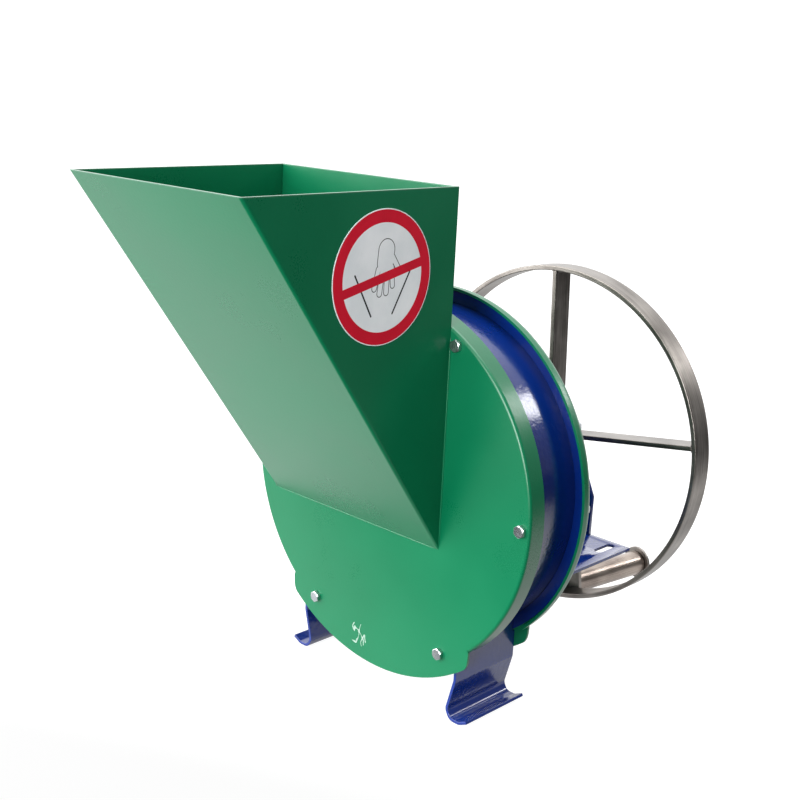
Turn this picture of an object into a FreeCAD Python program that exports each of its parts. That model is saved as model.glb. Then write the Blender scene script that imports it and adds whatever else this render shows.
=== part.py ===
import FreeCAD, Part
import Sketcher
import math
import os

# Hand-cranked fruit mill: a drum casing with a sloping sheet-metal hopper on its front cover,
# a knife disc inside, and a spoked hand wheel with a turning grip behind.
#
# Design frame, in millimetres: X to the right seen from the hopper side, Y from the hopper
# back along the shaft, Z up. Its zero is on the shaft's axis, at the front cover's front face.
# Every sub-part's Placement carries it from there to the part's own frame, whose zero is on
# the ground, under the middle of the whole machine.

SIZES = {
    # covers
    "cover_gauge": 2.5,
    "front_cover_clearance": 1.5,  # turned rim's inside, round the drum's flange
    "back_cover_clearance": 2.5,
    "front_lip_depth": 19.0,      # turned rim of the front cover, over its face
    "back_lip_depth": 13.0,
    "apron_reach": 11.5,          # flat, unturned stretch between the feet, past the front rim
    "apron_half_angle": 38.5,     # from straight down; the drum is open between the same angles
    "rim_half_angle": 42.0,       # where the turned rims stop
    # drum
    "ring_radius": 160.0,
    "ring_gauge": 3.0,
    "ring_width": 82.0,
    "flange_width": 11.0,
    "flange_gauge": 3.0,
    # cover screws
    "screw_radius": 3.0,
    "screw_clearance": 0.3,
    "screw_flats": 10.0,
    "screw_head_height": 4.0,
    "screw_nut_height": 5.0,
    "screw_spare": 2.0,           # thread that stands past its nut
    # hopper
    "hopper_gauge": 2.5,
    "hopper_right": 75.0,         # outer faces of the two sides
    "hopper_left": 148.5,
    "hopper_reach": 230.0,        # mouth, forward of the cover
    "mouth_height": 277.0,
    "hopper_foot_drop": 45.0,     # where the sloping panel meets the cover, below the axis
    "throat_left": 100.0,
    "throat_right": 62.0,
    "throat_top": 95.0,
    "throat_bottom": 32.0,
    "sign_radius": 55.0,
    "sign_gauge": 0.3,
    "sign_reach": 85.5,           # centre of the sign, forward of the cover
    "sign_height": 208.0,
    # feet
    "foot_gauge": 3.0,
    "ground_clearance": 19.5,     # under the aprons
    "foot_bend_radius": 9.0,
    "foot_knee_rise": 41.0,       # over the ground
    "foot_ankle_rise": 10.0,
    "foot_toe_rise": 4.5,
    "foot_ankle_in": 8.1,         # inwards from the drum's end
    "foot_heel_in": 2.6,
    "foot_land_out": 9.4,
    "foot_toe_out": 18.9,
    # rear bracket
    "shelf_half_width": 133.5,
    "shelf_gauge": 3.0,
    "shelf_drop": 80.8,           # its top, below the axis
    "shelf_rear": 221.0,          # rear edge, behind the front cover's face
    "slot_x": 117.5,
    "slot_length": 28.0,
    "slot_width": 9.0,
    "slot_setback": 21.0,         # rear slots' centre, forward of the rear edge
    "slot_spacing": 80.0,
    "upright_gauge": 4.0,
    "upright_half_width": 86.0,
    "upright_shoulder_drop": 40.0,
    "upright_neck_half_width": 52.0,
    "upright_neck_height": 34.0,
    "upright_top_half_width": 24.0,
    "upright_top_height": 56.0,
    # bearings and their housings
    "journal_radius": 10.0,
    "bearing_radius": 21.0,
    "bearing_width": 12.0,
    "race_wall": 2.7,
    "ball_clearance": 0.3,
    "housing_flange_radius": 47.0,
    "housing_flange_gauge": 8.0,
    "housing_boss_radius": 30.0,
    "housing_depth": 22.0,
    "housing_screw_circle_radius": 38.5,
    "housing_screw_radius": 4.0,
    "housing_screw_flats": 13.0,
    "housing_screw_head_height": 5.3,
    "housing_nut_height": 6.5,
    "shaft_hole_radius": 16.0,
    # shaft
    "thread_radius": 8.0,
    "shaft_nose": 7.0,            # front end, behind the front cover's face
    "collar_radius": 14.0,
    "collar_width": 5.0,
    "wheel_seat_radius": 9.0,
    "shaft_nut_flats": 24.0,
    "shaft_nut_height": 13.0,
    "shaft_washer_radius": 15.0,
    "shaft_washer_gauge": 3.0,
    # knife disc
    "disc_clearance": 7.0,        # inside the drum
    "disc_gauge": 6.0,
    "disc_front": 24.0,           # front face, behind the front cover's face
    "disc_hub_radius": 32.0,
    "disc_hub_boss_radius": 19.0,
    "disc_hub_flange": 8.0,
    "disc_hub_length": 26.0,
    "hub_screw_circle_radius": 25.0,
    "knife_inner": 44.0,
    "knife_margin": 10.0,         # from its outer end to the disc's edge
    "knife_width": 22.0,
    "knife_gauge": 3.0,
    "knife_slot_width": 10.0,
    "knife_screw_inset": 16.0,
    "small_screw_radius": 2.5,
    "small_screw_head_radius": 4.5,
    "small_screw_head_height": 2.5,
    # hand wheel
    "wheel_radius": 179.5,
    "rim_gauge": 5.0,
    "bar_width": 25.0,
    "spoke_gauge": 5.0,
    "wheel_rear": 275.0,          # rear edge of the rim, behind the front cover's face
    "wheel_phase": 8.6,
    "wheel_cross_angle": 83.9,    # between the two bars of the cross
    "wheel_hub_radius": 22.0,
    "wheel_hub_length": 33.0,
    "key_side": 6.0,
    "key_length": 24.0,
    "key_clearance": 0.05,
    # crank handle
    "handle_circle_radius": 173.5,
    "handle_angle": -83.0,
    "handle_splay": 7.9,          # its axis leans outwards from the shaft's
    "lug_gauge": 5.0,
    "lug_radius": 19.0,
    "lug_length": 48.0,
    "grip_radius": 13.45,
    "grip_wall": 2.6,
    "grip_length": 109.5,
    "grip_clearance": 0.1,        # radial, on its spindle
    "grip_end_gap": 0.5,
    "spindle_seat": 3.0,          # depth of the spindle in the lug
    "cap_radius": 18.5,
    "cap_gauge": 3.0,
}


class Size:
    """A number that remembers its formula, so that the sheet can drive whatever uses it."""

    def __init__(self, value, text=None):
        self.value = float(value)
        self.text = text or repr(self.value)

    def __add__(self, other):
        return Size(self.value + size(other).value, f"({self.text} + {size(other).text})")

    def __sub__(self, other):
        return Size(self.value - size(other).value, f"({self.text} - {size(other).text})")

    def __mul__(self, other):
        return Size(self.value * size(other).value, f"{self.text} * {size(other).text}")

    def __truediv__(self, other):
        return Size(self.value / size(other).value, f"{self.text} / ({size(other).text})")

    def __neg__(self):
        return Size(-self.value, f"(-1 * {self.text})")


def size(number):
    return number if isinstance(number, Size) else Size(number)


def sine(angle):
    return Size(math.sin(math.radians(size(angle).value)), f"sin({size(angle).text})")


def cosine(angle):
    return Size(math.cos(math.radians(size(angle).value)), f"cos({size(angle).text})")


def length_of(run, rise):
    return Size(math.hypot(run.value, rise.value),
                f"sqrt({run.text} * {run.text} + {rise.text} * {rise.text})")


ZERO = size(0)
doc = FreeCAD.newDocument("fruit_mill")
sheet = doc.addObject("Spreadsheet::Sheet", "Dimensions")
for row, (alias, number) in enumerate(SIZES.items(), start=1):
    sheet.set(f"A{row}", alias)
    sheet.set(f"B{row}", repr(number))
    sheet.setAlias(f"B{row}", alias)
doc.recompute()
D = {alias: Size(number, f"Dimensions.{alias}") for alias, number in SIZES.items()}

# Radii about the shaft that follow from the drum's.
flange_radius = D["ring_radius"] + D["flange_width"]
screw_circle_radius = D["ring_radius"] + D["flange_width"] / 2
cover_radius = flange_radius + D["front_cover_clearance"] + D["cover_gauge"]
back_cover_radius = flange_radius + D["back_cover_clearance"] + D["cover_gauge"]
apron_radius = cover_radius + D["apron_reach"]
foot_drop = apron_radius + D["ground_clearance"]
disc_radius = D["ring_radius"] - D["ring_gauge"] - D["disc_clearance"]
knife_outer = disc_radius - D["knife_margin"]
knife_length = knife_outer - D["knife_inner"]
ball_circle_radius = (D["bearing_radius"] + D["journal_radius"]) / 2
ball_radius = (D["bearing_radius"] - D["journal_radius"]) / 2 - D["race_wall"] - D["ball_clearance"]
BALL_COUNT = 9

# Places along the shaft that several pieces share.
ring_front = D["cover_gauge"]
ring_rear = ring_front + D["ring_width"]
casing_back = ring_rear + D["cover_gauge"]
disc_rear = D["disc_front"] + D["disc_gauge"]
disc_hub_rear = disc_rear + D["disc_hub_length"]
upright_front = D["shelf_rear"] - D["upright_gauge"]
rim_front = D["wheel_rear"] - D["bar_width"]
wheel_hub_front = D["wheel_rear"] - (D["bar_width"] + D["wheel_hub_length"]) / 2
wheel_hub_rear = wheel_hub_front + D["wheel_hub_length"]
wheel_nut_front = wheel_hub_rear + D["shaft_washer_gauge"]
shaft_tail = wheel_nut_front + D["shaft_nut_height"] + D["screw_spare"]
rim_inner_radius = D["wheel_radius"] - D["rim_gauge"]

# The handle's axis: where it leaves the lug's rear face, and how far along it things lie.
lug_rear = D["wheel_rear"] + D["lug_gauge"]
handle_x = D["handle_circle_radius"] * cosine(D["handle_angle"])
handle_z = D["handle_circle_radius"] * sine(D["handle_angle"])
grip_start = D["grip_radius"] * sine(D["handle_splay"]) + D["grip_end_gap"]
cap_start = grip_start + D["grip_length"] + D["grip_end_gap"]
spindle_radius = D["grip_radius"] - D["grip_wall"] - D["grip_clearance"]
handle_end = (lug_rear + (cap_start + D["cap_gauge"]) * cosine(D["handle_splay"])
              + D["cap_radius"] * sine(D["handle_splay"]))

# The part's own frame, as seen from the design frame.
FRAME_SHIFT = (ZERO, (D["hopper_reach"] - handle_end) / 2, foot_drop)
nodes = []


def bind(item, **values):
    for name, value in values.items():
        item.setExpression(name, size(value).text)
    return item


def put(item, x=ZERO, y=ZERO, z=ZERO):
    for axis, value in zip("xyz", (x, y, z)):
        item.setExpression(f"Placement.Base.{axis}", size(value).text)
    return item


def keep(item, label, at=(ZERO, ZERO, ZERO)):
    """Name a finished sub-part and carry it to the part's own frame."""
    item.Label = label
    put(item, *(size(a) + shift for a, shift in zip(at, FRAME_SHIFT)))
    nodes.append(item)
    return item


# ---- sketches and pads ----

def new_body(label):
    return doc.addObject("PartDesign::Body", f"body_{label}")


def new_sketch(body, name, plane="XZ_Plane"):
    sketch = body.newObject("Sketcher::SketchObject", f"{name}_sketch")
    planes = [f for f in body.Origin.OriginFeatures if f.Role == plane]
    sketch.AttachmentSupport = [(planes[0], "")]
    sketch.MapMode = "FlatFace"
    return sketch


def fix_size(sketch, kind, first, second, value):
    """Add one driving constraint and tie its value to the sheet."""
    index = sketch.addConstraint(Sketcher.Constraint(kind, *first, *second, size(value).value))
    sketch.setExpression(f"Constraints[{index}]", size(value).text)


def fix_point(sketch, geometry, point, x, y):
    fix_size(sketch, "DistanceX", (-1, 1), (geometry, point), x)
    fix_size(sketch, "DistanceY", (-1, 1), (geometry, point), y)


def draw_circle(sketch, radius, x=ZERO, y=ZERO):
    centre = FreeCAD.Vector(size(x).value, size(y).value, 0)
    up = FreeCAD.Vector(0, 0, 1)
    index = sketch.addGeometry(Part.Circle(centre, up, size(radius).value), False)
    fix_point(sketch, index, 3, x, y)
    fix_size(sketch, "Radius", (index,), (), radius)


def draw_polygon(sketch, corners):
    """A closed outline of straight lines; each corner's place comes from the sheet."""
    points = [FreeCAD.Vector(size(x).value, size(y).value, 0) for x, y in corners]
    first = sketch.GeometryCount
    for start, end in zip(points, points[1:] + points[:1]):
        sketch.addGeometry(Part.LineSegment(start, end), False)
    for index, (x, y) in enumerate(corners):
        last = (index - 1) % len(corners)
        sketch.addConstraint(Sketcher.Constraint("Coincident", first + last, 2, first + index, 1))
        fix_point(sketch, first + index, 1, x, y)


def draw_arc(sketch, radius, start, end):
    circle = Part.Circle(FreeCAD.Vector(), FreeCAD.Vector(0, 0, 1), size(radius).value)
    index = sketch.addGeometry(
        Part.ArcOfCircle(circle, math.radians(size(start).value), math.radians(size(end).value)), False)
    sketch.addConstraint(Sketcher.Constraint("Coincident", index, 3, -1, 1))
    fix_size(sketch, "Radius", (index,), (), radius)
    return index


def draw_joined_arcs(sketch, first, second):
    """Close an outline of two arcs about the origin with two straight lines.

    Each arc is (radius, start angle, end angle), counter-clockwise. The first one's end joins
    the second one's start, or its end where both cover the same stretch.
    """
    indices = [draw_arc(sketch, *arc) for arc in (first, second)]
    same_stretch = first[1].value == second[1].value
    pairs = ((1, 1), (2, 2)) if same_stretch else ((2, 1), (1, 2))
    for here, there in pairs:
        corners = [(first[0], first[here]), (second[0], second[there])]
        ends = [FreeCAD.Vector((radius * cosine(angle)).value, (radius * sine(angle)).value, 0)
                for radius, angle in corners]
        line = sketch.addGeometry(Part.LineSegment(*ends), False)
        sketch.addConstraint(Sketcher.Constraint("Coincident", line, 1, indices[0], here))
        sketch.addConstraint(Sketcher.Constraint("Coincident", line, 2, indices[1], there))
        for end, (radius, angle) in enumerate(corners, start=1):
            fix_size(sketch, "DistanceX", (-1, 1), (line, end), radius * cosine(angle))


def pad(body, sketch, length, forward=True):
    """Thicken a sketch. On the XZ plane, forward is towards +Y."""
    feature = body.newObject("PartDesign::Pad", f"{sketch.Name}_pad")
    feature.Profile = sketch
    feature.Reversed = forward
    bind(feature, Length=length)
    sketch.Visibility = False
    body.Tip = feature
    return feature


def washer(label, outer, inner, thickness, y, holes=()):
    """A round plate on the shaft's axis, with a centre hole and any others."""
    body = new_body(label)
    sketch = new_sketch(body, label)
    draw_circle(sketch, outer)
    if size(inner).value > 0:
        draw_circle(sketch, inner)
    for radius, x, z in holes:
        draw_circle(sketch, radius, x, z)
    pad(body, sketch, thickness)
    return keep(body, label, (ZERO, y, ZERO))


def plate(label, corners, thickness, plane, at, holes=(), forward=True):
    body = new_body(label)
    sketch = new_sketch(body, label, plane)
    draw_polygon(sketch, corners)
    for radius, x, y in holes:
        draw_circle(sketch, radius, x, y)
    pad(body, sketch, thickness, forward)
    return keep(body, label, at)


def around(radius, count, start=0.0):
    """Places on a circle about the shaft, as (x, z)."""
    angles = [start + 360.0 * step / count for step in range(count)]
    return [(size(radius) * cosine(a), size(radius) * sine(a)) for a in angles]


# ---- primitives whose axis is the shaft's ----

def rod(name, radius, length, x=ZERO, y=ZERO, z=ZERO):
    item = doc.addObject("Part::Cylinder", name)
    item.Placement.Rotation = FreeCAD.Rotation(FreeCAD.Vector(1, 0, 0), -90)
    return put(bind(item, Radius=radius, Height=length), x, y, z)


def hexagon(name, flats, length, x=ZERO, y=ZERO, z=ZERO):
    """A hexagonal prism along Y, with two of its flats facing the shaft on a circle of six."""
    item = doc.addObject("Part::Prism", name)
    item.Polygon = 6
    item.Placement.Rotation = FreeCAD.Rotation(0, 0, -90) * FreeCAD.Rotation(30, 0, 0)
    return put(bind(item, Circumradius=size(flats) / 2 / cosine(30), Height=length), x, y, z)


def block(name, sides, corner):
    item = doc.addObject("Part::Box", name)
    bind(item, Length=sides[0], Width=sides[1], Height=sides[2])
    return put(item, *corner)


def combine(kind, name, first, second):
    item = doc.addObject(kind, name)
    item.Base = first
    item.Tool = second
    return item


def cut(name, base, tool):
    return combine("Part::Cut", name, base, tool)


def group(name, items, kind="Part::MultiFuse"):
    item = doc.addObject(kind, name)
    if kind == "Part::Compound":
        item.Links = items
    else:
        item.Shapes = items
    return item


def screws(label, places, head, shank, radius, flats):
    """Hexagon screws along Y. head and shank are (start, length) along the shaft."""
    items = []
    for step, (x, z) in enumerate(places):
        start, height = head[step] if isinstance(head, list) else head
        from_y, length = shank[step] if isinstance(shank, list) else shank
        top = hexagon(f"{label}_head_{step}", flats, height, x, start, z)
        stem = rod(f"{label}_stem_{step}", radius, length, x, from_y, z)
        items.append(combine("Part::Fuse", f"{label}_{step}", top, stem))
    return keep(group(label, items, "Part::Compound"), label)


def nuts(label, places, y, height, bore, flats):
    items = []
    for step, (x, z) in enumerate(places):
        body = hexagon(f"{label}_hex_{step}", flats, height, x, y, z)
        hole = rod(f"{label}_hole_{step}", bore, height, x, y, z)
        items.append(cut(f"{label}_{step}", body, hole))
    return keep(group(label, items, "Part::Compound"), label)


# ---- drum and covers ----

down = size(270)
gap_left = down - D["apron_half_angle"]
gap_right = down + D["apron_half_angle"]
rim_left = down - D["rim_half_angle"]
rim_right = down + D["rim_half_angle"]
cover_places = around(screw_circle_radius, 6)
screw_hole = D["screw_radius"] + D["screw_clearance"]
cover_holes = [(screw_hole, x, z) for x, z in cover_places]
housing_places = around(D["housing_screw_circle_radius"], 4, start=45.0)
housing_holes = [(D["housing_screw_radius"] + D["screw_clearance"], x, z) for x, z in housing_places]


def open_ring(body, name, outer, inner, length, forward=True, stretch=(gap_right, gap_left)):
    """A turned wall that is left out between the feet."""
    sketch = new_sketch(body, name)
    arcs = [(radius, stretch[0] - 360, stretch[1]) for radius in (outer, inner)]
    draw_joined_arcs(sketch, *arcs)
    return pad(body, sketch, length, forward)


def cover(label, radius, lip_depth, y, forward, circles, throat=()):
    """A pressed cover: a flat face with an apron between the feet, and a turned rim elsewhere."""
    body = new_body(label)
    sketch = new_sketch(body, label)
    draw_joined_arcs(sketch, (radius, rim_right - 360, rim_left), (apron_radius, gap_left, gap_right))
    for hole in circles:
        draw_circle(sketch, *hole)
    if throat:
        draw_polygon(sketch, throat)
    pad(body, sketch, D["cover_gauge"], forward)
    open_ring(body, f"{label}_lip", radius, radius - D["cover_gauge"], lip_depth, forward,
              (rim_right, rim_left))
    return keep(body, label, (ZERO, y, ZERO))


throat = [(-D["throat_left"], -D["throat_bottom"]), (D["throat_right"], -D["throat_bottom"]),
          (D["throat_right"], D["throat_top"]), (-D["throat_left"], D["throat_top"])]
cover("front_cover", cover_radius, D["front_lip_depth"], ZERO, True, cover_holes, throat)
cover("back_cover", back_cover_radius, D["back_lip_depth"], casing_back, False,
      cover_holes + housing_holes + [(D["shaft_hole_radius"], ZERO, ZERO)])

ring = new_body("casing_ring")
open_ring(ring, "casing_ring", D["ring_radius"], D["ring_radius"] - D["ring_gauge"], D["ring_width"])
keep(ring, "casing_ring", (ZERO, ring_front, ZERO))
rear_flange_front = ring_rear - D["flange_gauge"]
for label, y in (("front_flange", ring_front), ("rear_flange", rear_flange_front)):
    washer(label, flange_radius, D["ring_radius"], D["flange_gauge"], y, cover_holes)

# The screw inside the hopper also clamps the hopper's back panel, so it starts further forward.
nut_y = ring_front + D["flange_gauge"]
stem_end = nut_y + D["screw_nut_height"] + D["screw_spare"]
seats = [-D["hopper_gauge"] if step == 2 else ZERO for step in range(6)]
screws("front_cover_screws", cover_places,
       [(seat - D["screw_head_height"], D["screw_head_height"]) for seat in seats],
       [(seat, stem_end - seat) for seat in seats], D["screw_radius"], D["screw_flats"])
nuts("front_cover_nuts", cover_places, nut_y, D["screw_nut_height"], D["screw_radius"], D["screw_flats"])
screws("back_cover_screws", cover_places, (casing_back, D["screw_head_height"]),
       (rear_flange_front, casing_back - rear_flange_front), D["screw_radius"], D["screw_flats"])

# ---- feet ----


def tangent_path(points, radius):
    """Straight runs with an equal arc at each corner, in the XZ plane."""
    edges = []
    here = points[0]
    for corner, after in zip(points[1:-1], points[2:]):
        before = (here - corner).normalize()
        onward = (after - corner).normalize()
        half = before.getAngle(onward) / 2
        reach = radius / math.tan(half)
        middle = (before + onward).normalize() * (radius / math.sin(half) - radius)
        start, end = corner + before * reach, corner + onward * reach
        edges.append(Part.LineSegment(here, start).toShape())
        edges.append(Part.Arc(start, corner + middle, end).toShape())
        here = end
    edges.append(Part.LineSegment(here, points[-1]).toShape())
    return Part.Wire(edges)


def foot(label, side):
    """A strip as wide as the drum, welded to the ring's end and folded out into a toe.

    side is 1 on the right and -1 on the left. The path is the strip's lower face.
    """
    s = SIZES
    angle = math.radians(s["apron_half_angle"])
    outer = s["ring_radius"]
    ground = -foot_drop.value
    x, top = outer * math.sin(angle), -outer * math.cos(angle)
    corners = [(x, top), (x, ground + s["foot_knee_rise"]),
               (x - s["foot_ankle_in"], ground + s["foot_ankle_rise"]), (x - s["foot_heel_in"], ground),
               (x + s["foot_land_out"], ground), (x + s["foot_toe_out"], ground + s["foot_toe_rise"])]
    path = tangent_path([FreeCAD.Vector(x, 0, z) for x, z in corners], s["foot_bend_radius"])
    section = path.makeOffset2D(s["foot_gauge"], 0, True, True)
    strip = section.extrude(FreeCAD.Vector(0, s["ring_width"], 0))
    strip.translate(FreeCAD.Vector(0, s["cover_gauge"], 0))
    along = FreeCAD.Vector(0, 1, 0)
    for y in (ring_front.value, rear_flange_front.value):
        notch = Part.makeCylinder(flange_radius.value, s["flange_gauge"], FreeCAD.Vector(0, y, 0), along)
        strip = strip.cut(notch)
    strip = strip.cut(Part.makeCylinder(outer, s["ring_width"] * 2, FreeCAD.Vector(), along))
    if side < 0:
        strip = strip.mirror(FreeCAD.Vector(), FreeCAD.Vector(1, 0, 0))
    feature = doc.addObject("Part::Feature", label)
    feature.Shape = strip.Solids[0]
    return keep(feature, label)


foot("foot_right", 1)
foot("foot_left", -1)

# ---- hopper ----

slope_rise = D["mouth_height"] + D["hopper_foot_drop"]
slope_length = length_of(D["hopper_reach"], slope_rise)
slope_level = D["hopper_gauge"] * slope_length / slope_rise          # sheet, measured level
slope_upright = D["hopper_gauge"] * slope_length / D["hopper_reach"]  # sheet, measured upright
inner_lip_y = slope_level - D["hopper_reach"]
inner_foot_z = slope_upright - D["hopper_foot_drop"]
mouth = D["mouth_height"]
plate("hopper_front_panel",
      [(-D["hopper_reach"], mouth), (ZERO, -D["hopper_foot_drop"]), (ZERO, inner_foot_z), (inner_lip_y, mouth)],
      D["hopper_left"] + D["hopper_right"], "YZ_Plane", (-D["hopper_left"], ZERO, ZERO), forward=False)
side_corners = [(inner_lip_y, mouth), (ZERO, inner_foot_z), (ZERO, mouth)]
for label, x in (("hopper_right_panel", D["hopper_right"] - D["hopper_gauge"]),
                 ("hopper_left_panel", -D["hopper_left"])):
    plate(label, side_corners, D["hopper_gauge"], "YZ_Plane", (x, ZERO, ZERO), forward=False)
inner_left = D["hopper_gauge"] - D["hopper_left"]
inner_right = D["hopper_right"] - D["hopper_gauge"]
plate("hopper_back_panel",
      [(inner_left, D["throat_top"]), (inner_right, D["throat_top"]), (inner_right, mouth), (inner_left, mouth)],
      D["hopper_gauge"], "XZ_Plane", (ZERO, -D["hopper_gauge"], ZERO), [cover_holes[2]])

sign = doc.addObject("Part::Cylinder", "hopper_sign")
sign.Placement.Rotation = FreeCAD.Rotation(FreeCAD.Vector(0, 1, 0), 90)
bind(sign, Radius=D["sign_radius"], Height=D["sign_gauge"])
keep(sign, "hopper_sign", (D["hopper_right"], -D["sign_reach"], D["sign_height"]))

# ---- rear bracket ----

shelf_depth = D["shelf_rear"] - casing_back
shelf_base = -(D["shelf_drop"] + D["shelf_gauge"])
shelf_block = block("shelf_block", (D["shelf_half_width"] * 2, shelf_depth, D["shelf_gauge"]),
                    (-D["shelf_half_width"], casing_back, shelf_base))
slot_straight = D["slot_length"] - D["slot_width"]
slot_cuts = []
for side_name, slot_centre in (("right", D["slot_x"]), ("left", -D["slot_x"])):
    for step in range(2):
        name = f"slot_{side_name}_{step}"
        middle = D["shelf_rear"] - D["slot_setback"] - D["slot_spacing"] * step
        slot_cuts.append(block(name, (D["slot_width"], slot_straight, D["shelf_gauge"]),
                               (slot_centre - D["slot_width"] / 2, middle - slot_straight / 2, shelf_base)))
        for end, share in (("front", -0.5), ("rear", 0.5)):
            curve = doc.addObject("Part::Cylinder", f"{name}_{end}")
            bind(curve, Radius=D["slot_width"] / 2, Height=D["shelf_gauge"])
            slot_cuts.append(put(curve, slot_centre, middle + slot_straight * share, shelf_base))
keep(cut("rear_shelf", shelf_block, group("shelf_slots", slot_cuts)), "rear_shelf")

upright_half = [(D["upright_half_width"], -D["shelf_drop"]),
                (D["upright_half_width"], -D["upright_shoulder_drop"]),
                (D["upright_neck_half_width"], D["upright_neck_height"]),
                (D["upright_top_half_width"], D["upright_top_height"])]
upright_outline = upright_half + [(-x, z) for x, z in reversed(upright_half)]
plate("rear_upright", upright_outline, D["upright_gauge"], "XZ_Plane", (ZERO, upright_front, ZERO),
      housing_holes + [(D["shaft_hole_radius"], ZERO, ZERO)])

# ---- bearings ----


def housing(label, y, forward):
    """A flanged bearing housing. Its boss points to +Y when forward is true."""
    body = new_body(label)
    for name, radius, length, holes in (
            ("flange", D["housing_flange_radius"], D["housing_flange_gauge"], housing_holes),
            ("boss", D["housing_boss_radius"], D["housing_depth"], [])):
        sketch = new_sketch(body, f"{label}_{name}")
        draw_circle(sketch, radius)
        draw_circle(sketch, D["bearing_radius"])
        for hole in holes:
            draw_circle(sketch, *hole)
        pad(body, sketch, length, forward)
    return keep(body, label, (ZERO, y, ZERO))


def bearing(name, y):
    outer, inner, wall = D["bearing_radius"], D["journal_radius"], D["race_wall"]
    washer(f"{name}_outer_race", outer, outer - wall, D["bearing_width"], y)
    washer(f"{name}_inner_race", inner + wall, inner, D["bearing_width"], y)
    balls = []
    for step, (x, z) in enumerate(around(ball_circle_radius, BALL_COUNT)):
        ball = doc.addObject("Part::Sphere", f"{name}_ball_{step}")
        balls.append(put(bind(ball, Radius=ball_radius), x, y + D["bearing_width"] / 2, z))
    keep(group(f"{name}_balls", balls, "Part::Compound"), f"{name}_balls")


housing_margin = (D["housing_depth"] - D["bearing_width"]) / 2
flange_seat = casing_back + D["housing_flange_gauge"]
housing("front_bearing_housing", casing_back, True)
bearing("front_bearing", casing_back + housing_margin)
screws("front_housing_screws", housing_places, (flange_seat, D["housing_screw_head_height"]),
       (ring_rear - D["housing_nut_height"], flange_seat - ring_rear + D["housing_nut_height"]),
       D["housing_screw_radius"], D["housing_screw_flats"])
nuts("front_housing_nuts", housing_places, ring_rear - D["housing_nut_height"], D["housing_nut_height"],
     D["housing_screw_radius"], D["housing_screw_flats"])

rear_seat = upright_front - D["housing_flange_gauge"]
housing("rear_bearing_housing", upright_front, False)
bearing("rear_bearing", upright_front - D["housing_depth"] + housing_margin)
screws("rear_housing_screws", housing_places,
       (rear_seat - D["housing_screw_head_height"], D["housing_screw_head_height"]),
       (rear_seat, D["shelf_rear"] + D["housing_nut_height"] - rear_seat),
       D["housing_screw_radius"], D["housing_screw_flats"])
nuts("rear_housing_nuts", housing_places, D["shelf_rear"], D["housing_nut_height"],
     D["housing_screw_radius"], D["housing_screw_flats"])

# ---- shaft ----

turned = new_body("shaft")
turned_sketch = new_sketch(turned, "shaft", "XY_Plane")
steps = [(D["thread_radius"], D["shaft_nose"]), (D["thread_radius"], D["disc_front"]),
         (D["journal_radius"], D["disc_front"]), (D["journal_radius"], disc_hub_rear),
         (D["collar_radius"], disc_hub_rear), (D["collar_radius"], disc_hub_rear + D["collar_width"]),
         (D["journal_radius"], disc_hub_rear + D["collar_width"]), (D["journal_radius"], wheel_hub_front),
         (D["wheel_seat_radius"], wheel_hub_front), (D["wheel_seat_radius"], wheel_hub_rear),
         (D["thread_radius"], wheel_hub_rear), (D["thread_radius"], shaft_tail)]
draw_polygon(turned_sketch, [(ZERO, D["shaft_nose"])] + steps + [(ZERO, shaft_tail)])
turning = turned.newObject("PartDesign::Revolution", "shaft_turning")
turning.Profile = turned_sketch
turning.ReferenceAxis = (turned_sketch, ["V_Axis"])
turning.Angle = 360
turned.Tip = turning

key_middle = D["wheel_rear"] - D["bar_width"] / 2
key_base = D["wheel_seat_radius"] - D["key_side"] / 2


def key_block(name, spare):
    """The key, or the space for it, which is larger all round by spare."""
    sides = (D["key_side"] + spare * 2, D["key_length"] + spare * 2, D["key_side"] + spare * 2)
    return block(name, sides, (-sides[0] / 2, key_middle - sides[1] / 2, key_base - spare))


keyway = key_block("keyway", D["key_clearance"])
keep(cut("shaft_cut", turned, keyway), "shaft")
keep(block("hub_key", (D["key_side"], D["key_length"], D["key_side"]), (ZERO, ZERO, ZERO)), "hub_key",
     (-D["key_side"] / 2, key_middle - D["key_length"] / 2, key_base))

# ---- knife disc ----

disc = new_body("cutting_disc")
disc_sketch = new_sketch(disc, "cutting_disc")
draw_circle(disc_sketch, disc_radius)
draw_circle(disc_sketch, D["journal_radius"])
pad(disc, disc_sketch, D["disc_gauge"])
slot_sketch = new_sketch(disc, "knife_slot")
draw_polygon(slot_sketch, [(D["knife_inner"], ZERO), (knife_outer, ZERO),
                           (knife_outer, D["knife_slot_width"]), (D["knife_inner"], D["knife_slot_width"])])
knife_middle = -(D["knife_width"] / 2)
knife_screw_x = [D["knife_inner"] + D["knife_screw_inset"], knife_outer - D["knife_screw_inset"]]
for x in knife_screw_x:
    draw_circle(slot_sketch, D["small_screw_radius"], x, knife_middle)
draw_circle(slot_sketch, D["small_screw_radius"], D["hub_screw_circle_radius"], ZERO)
pocket = disc.newObject("PartDesign::Pocket", "knife_slot_pocket")
pocket.Profile = slot_sketch
pocket.Reversed = False
pocket.Midplane = True
bind(pocket, Length=D["disc_gauge"] * 3)
disc.Tip = pocket
pattern = disc.newObject("PartDesign::PolarPattern", "knife_slot_pattern")
pattern.Originals = [pocket]
pattern.Axis = (slot_sketch, ["N_Axis"])
pattern.Angle = 360
pattern.Occurrences = 4
disc.Tip = pattern
keep(disc, "cutting_disc", (ZERO, D["disc_front"], ZERO))


def turned_place(item, degrees):
    """Turn a finished sub-part about the shaft, from +X towards +Z."""
    item.Placement.Rotation = FreeCAD.Rotation(FreeCAD.Vector(0, 1, 0), -size(degrees).value)
    item.setExpression("Placement.Rotation.Angle", (-size(degrees)).text)
    return item


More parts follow.
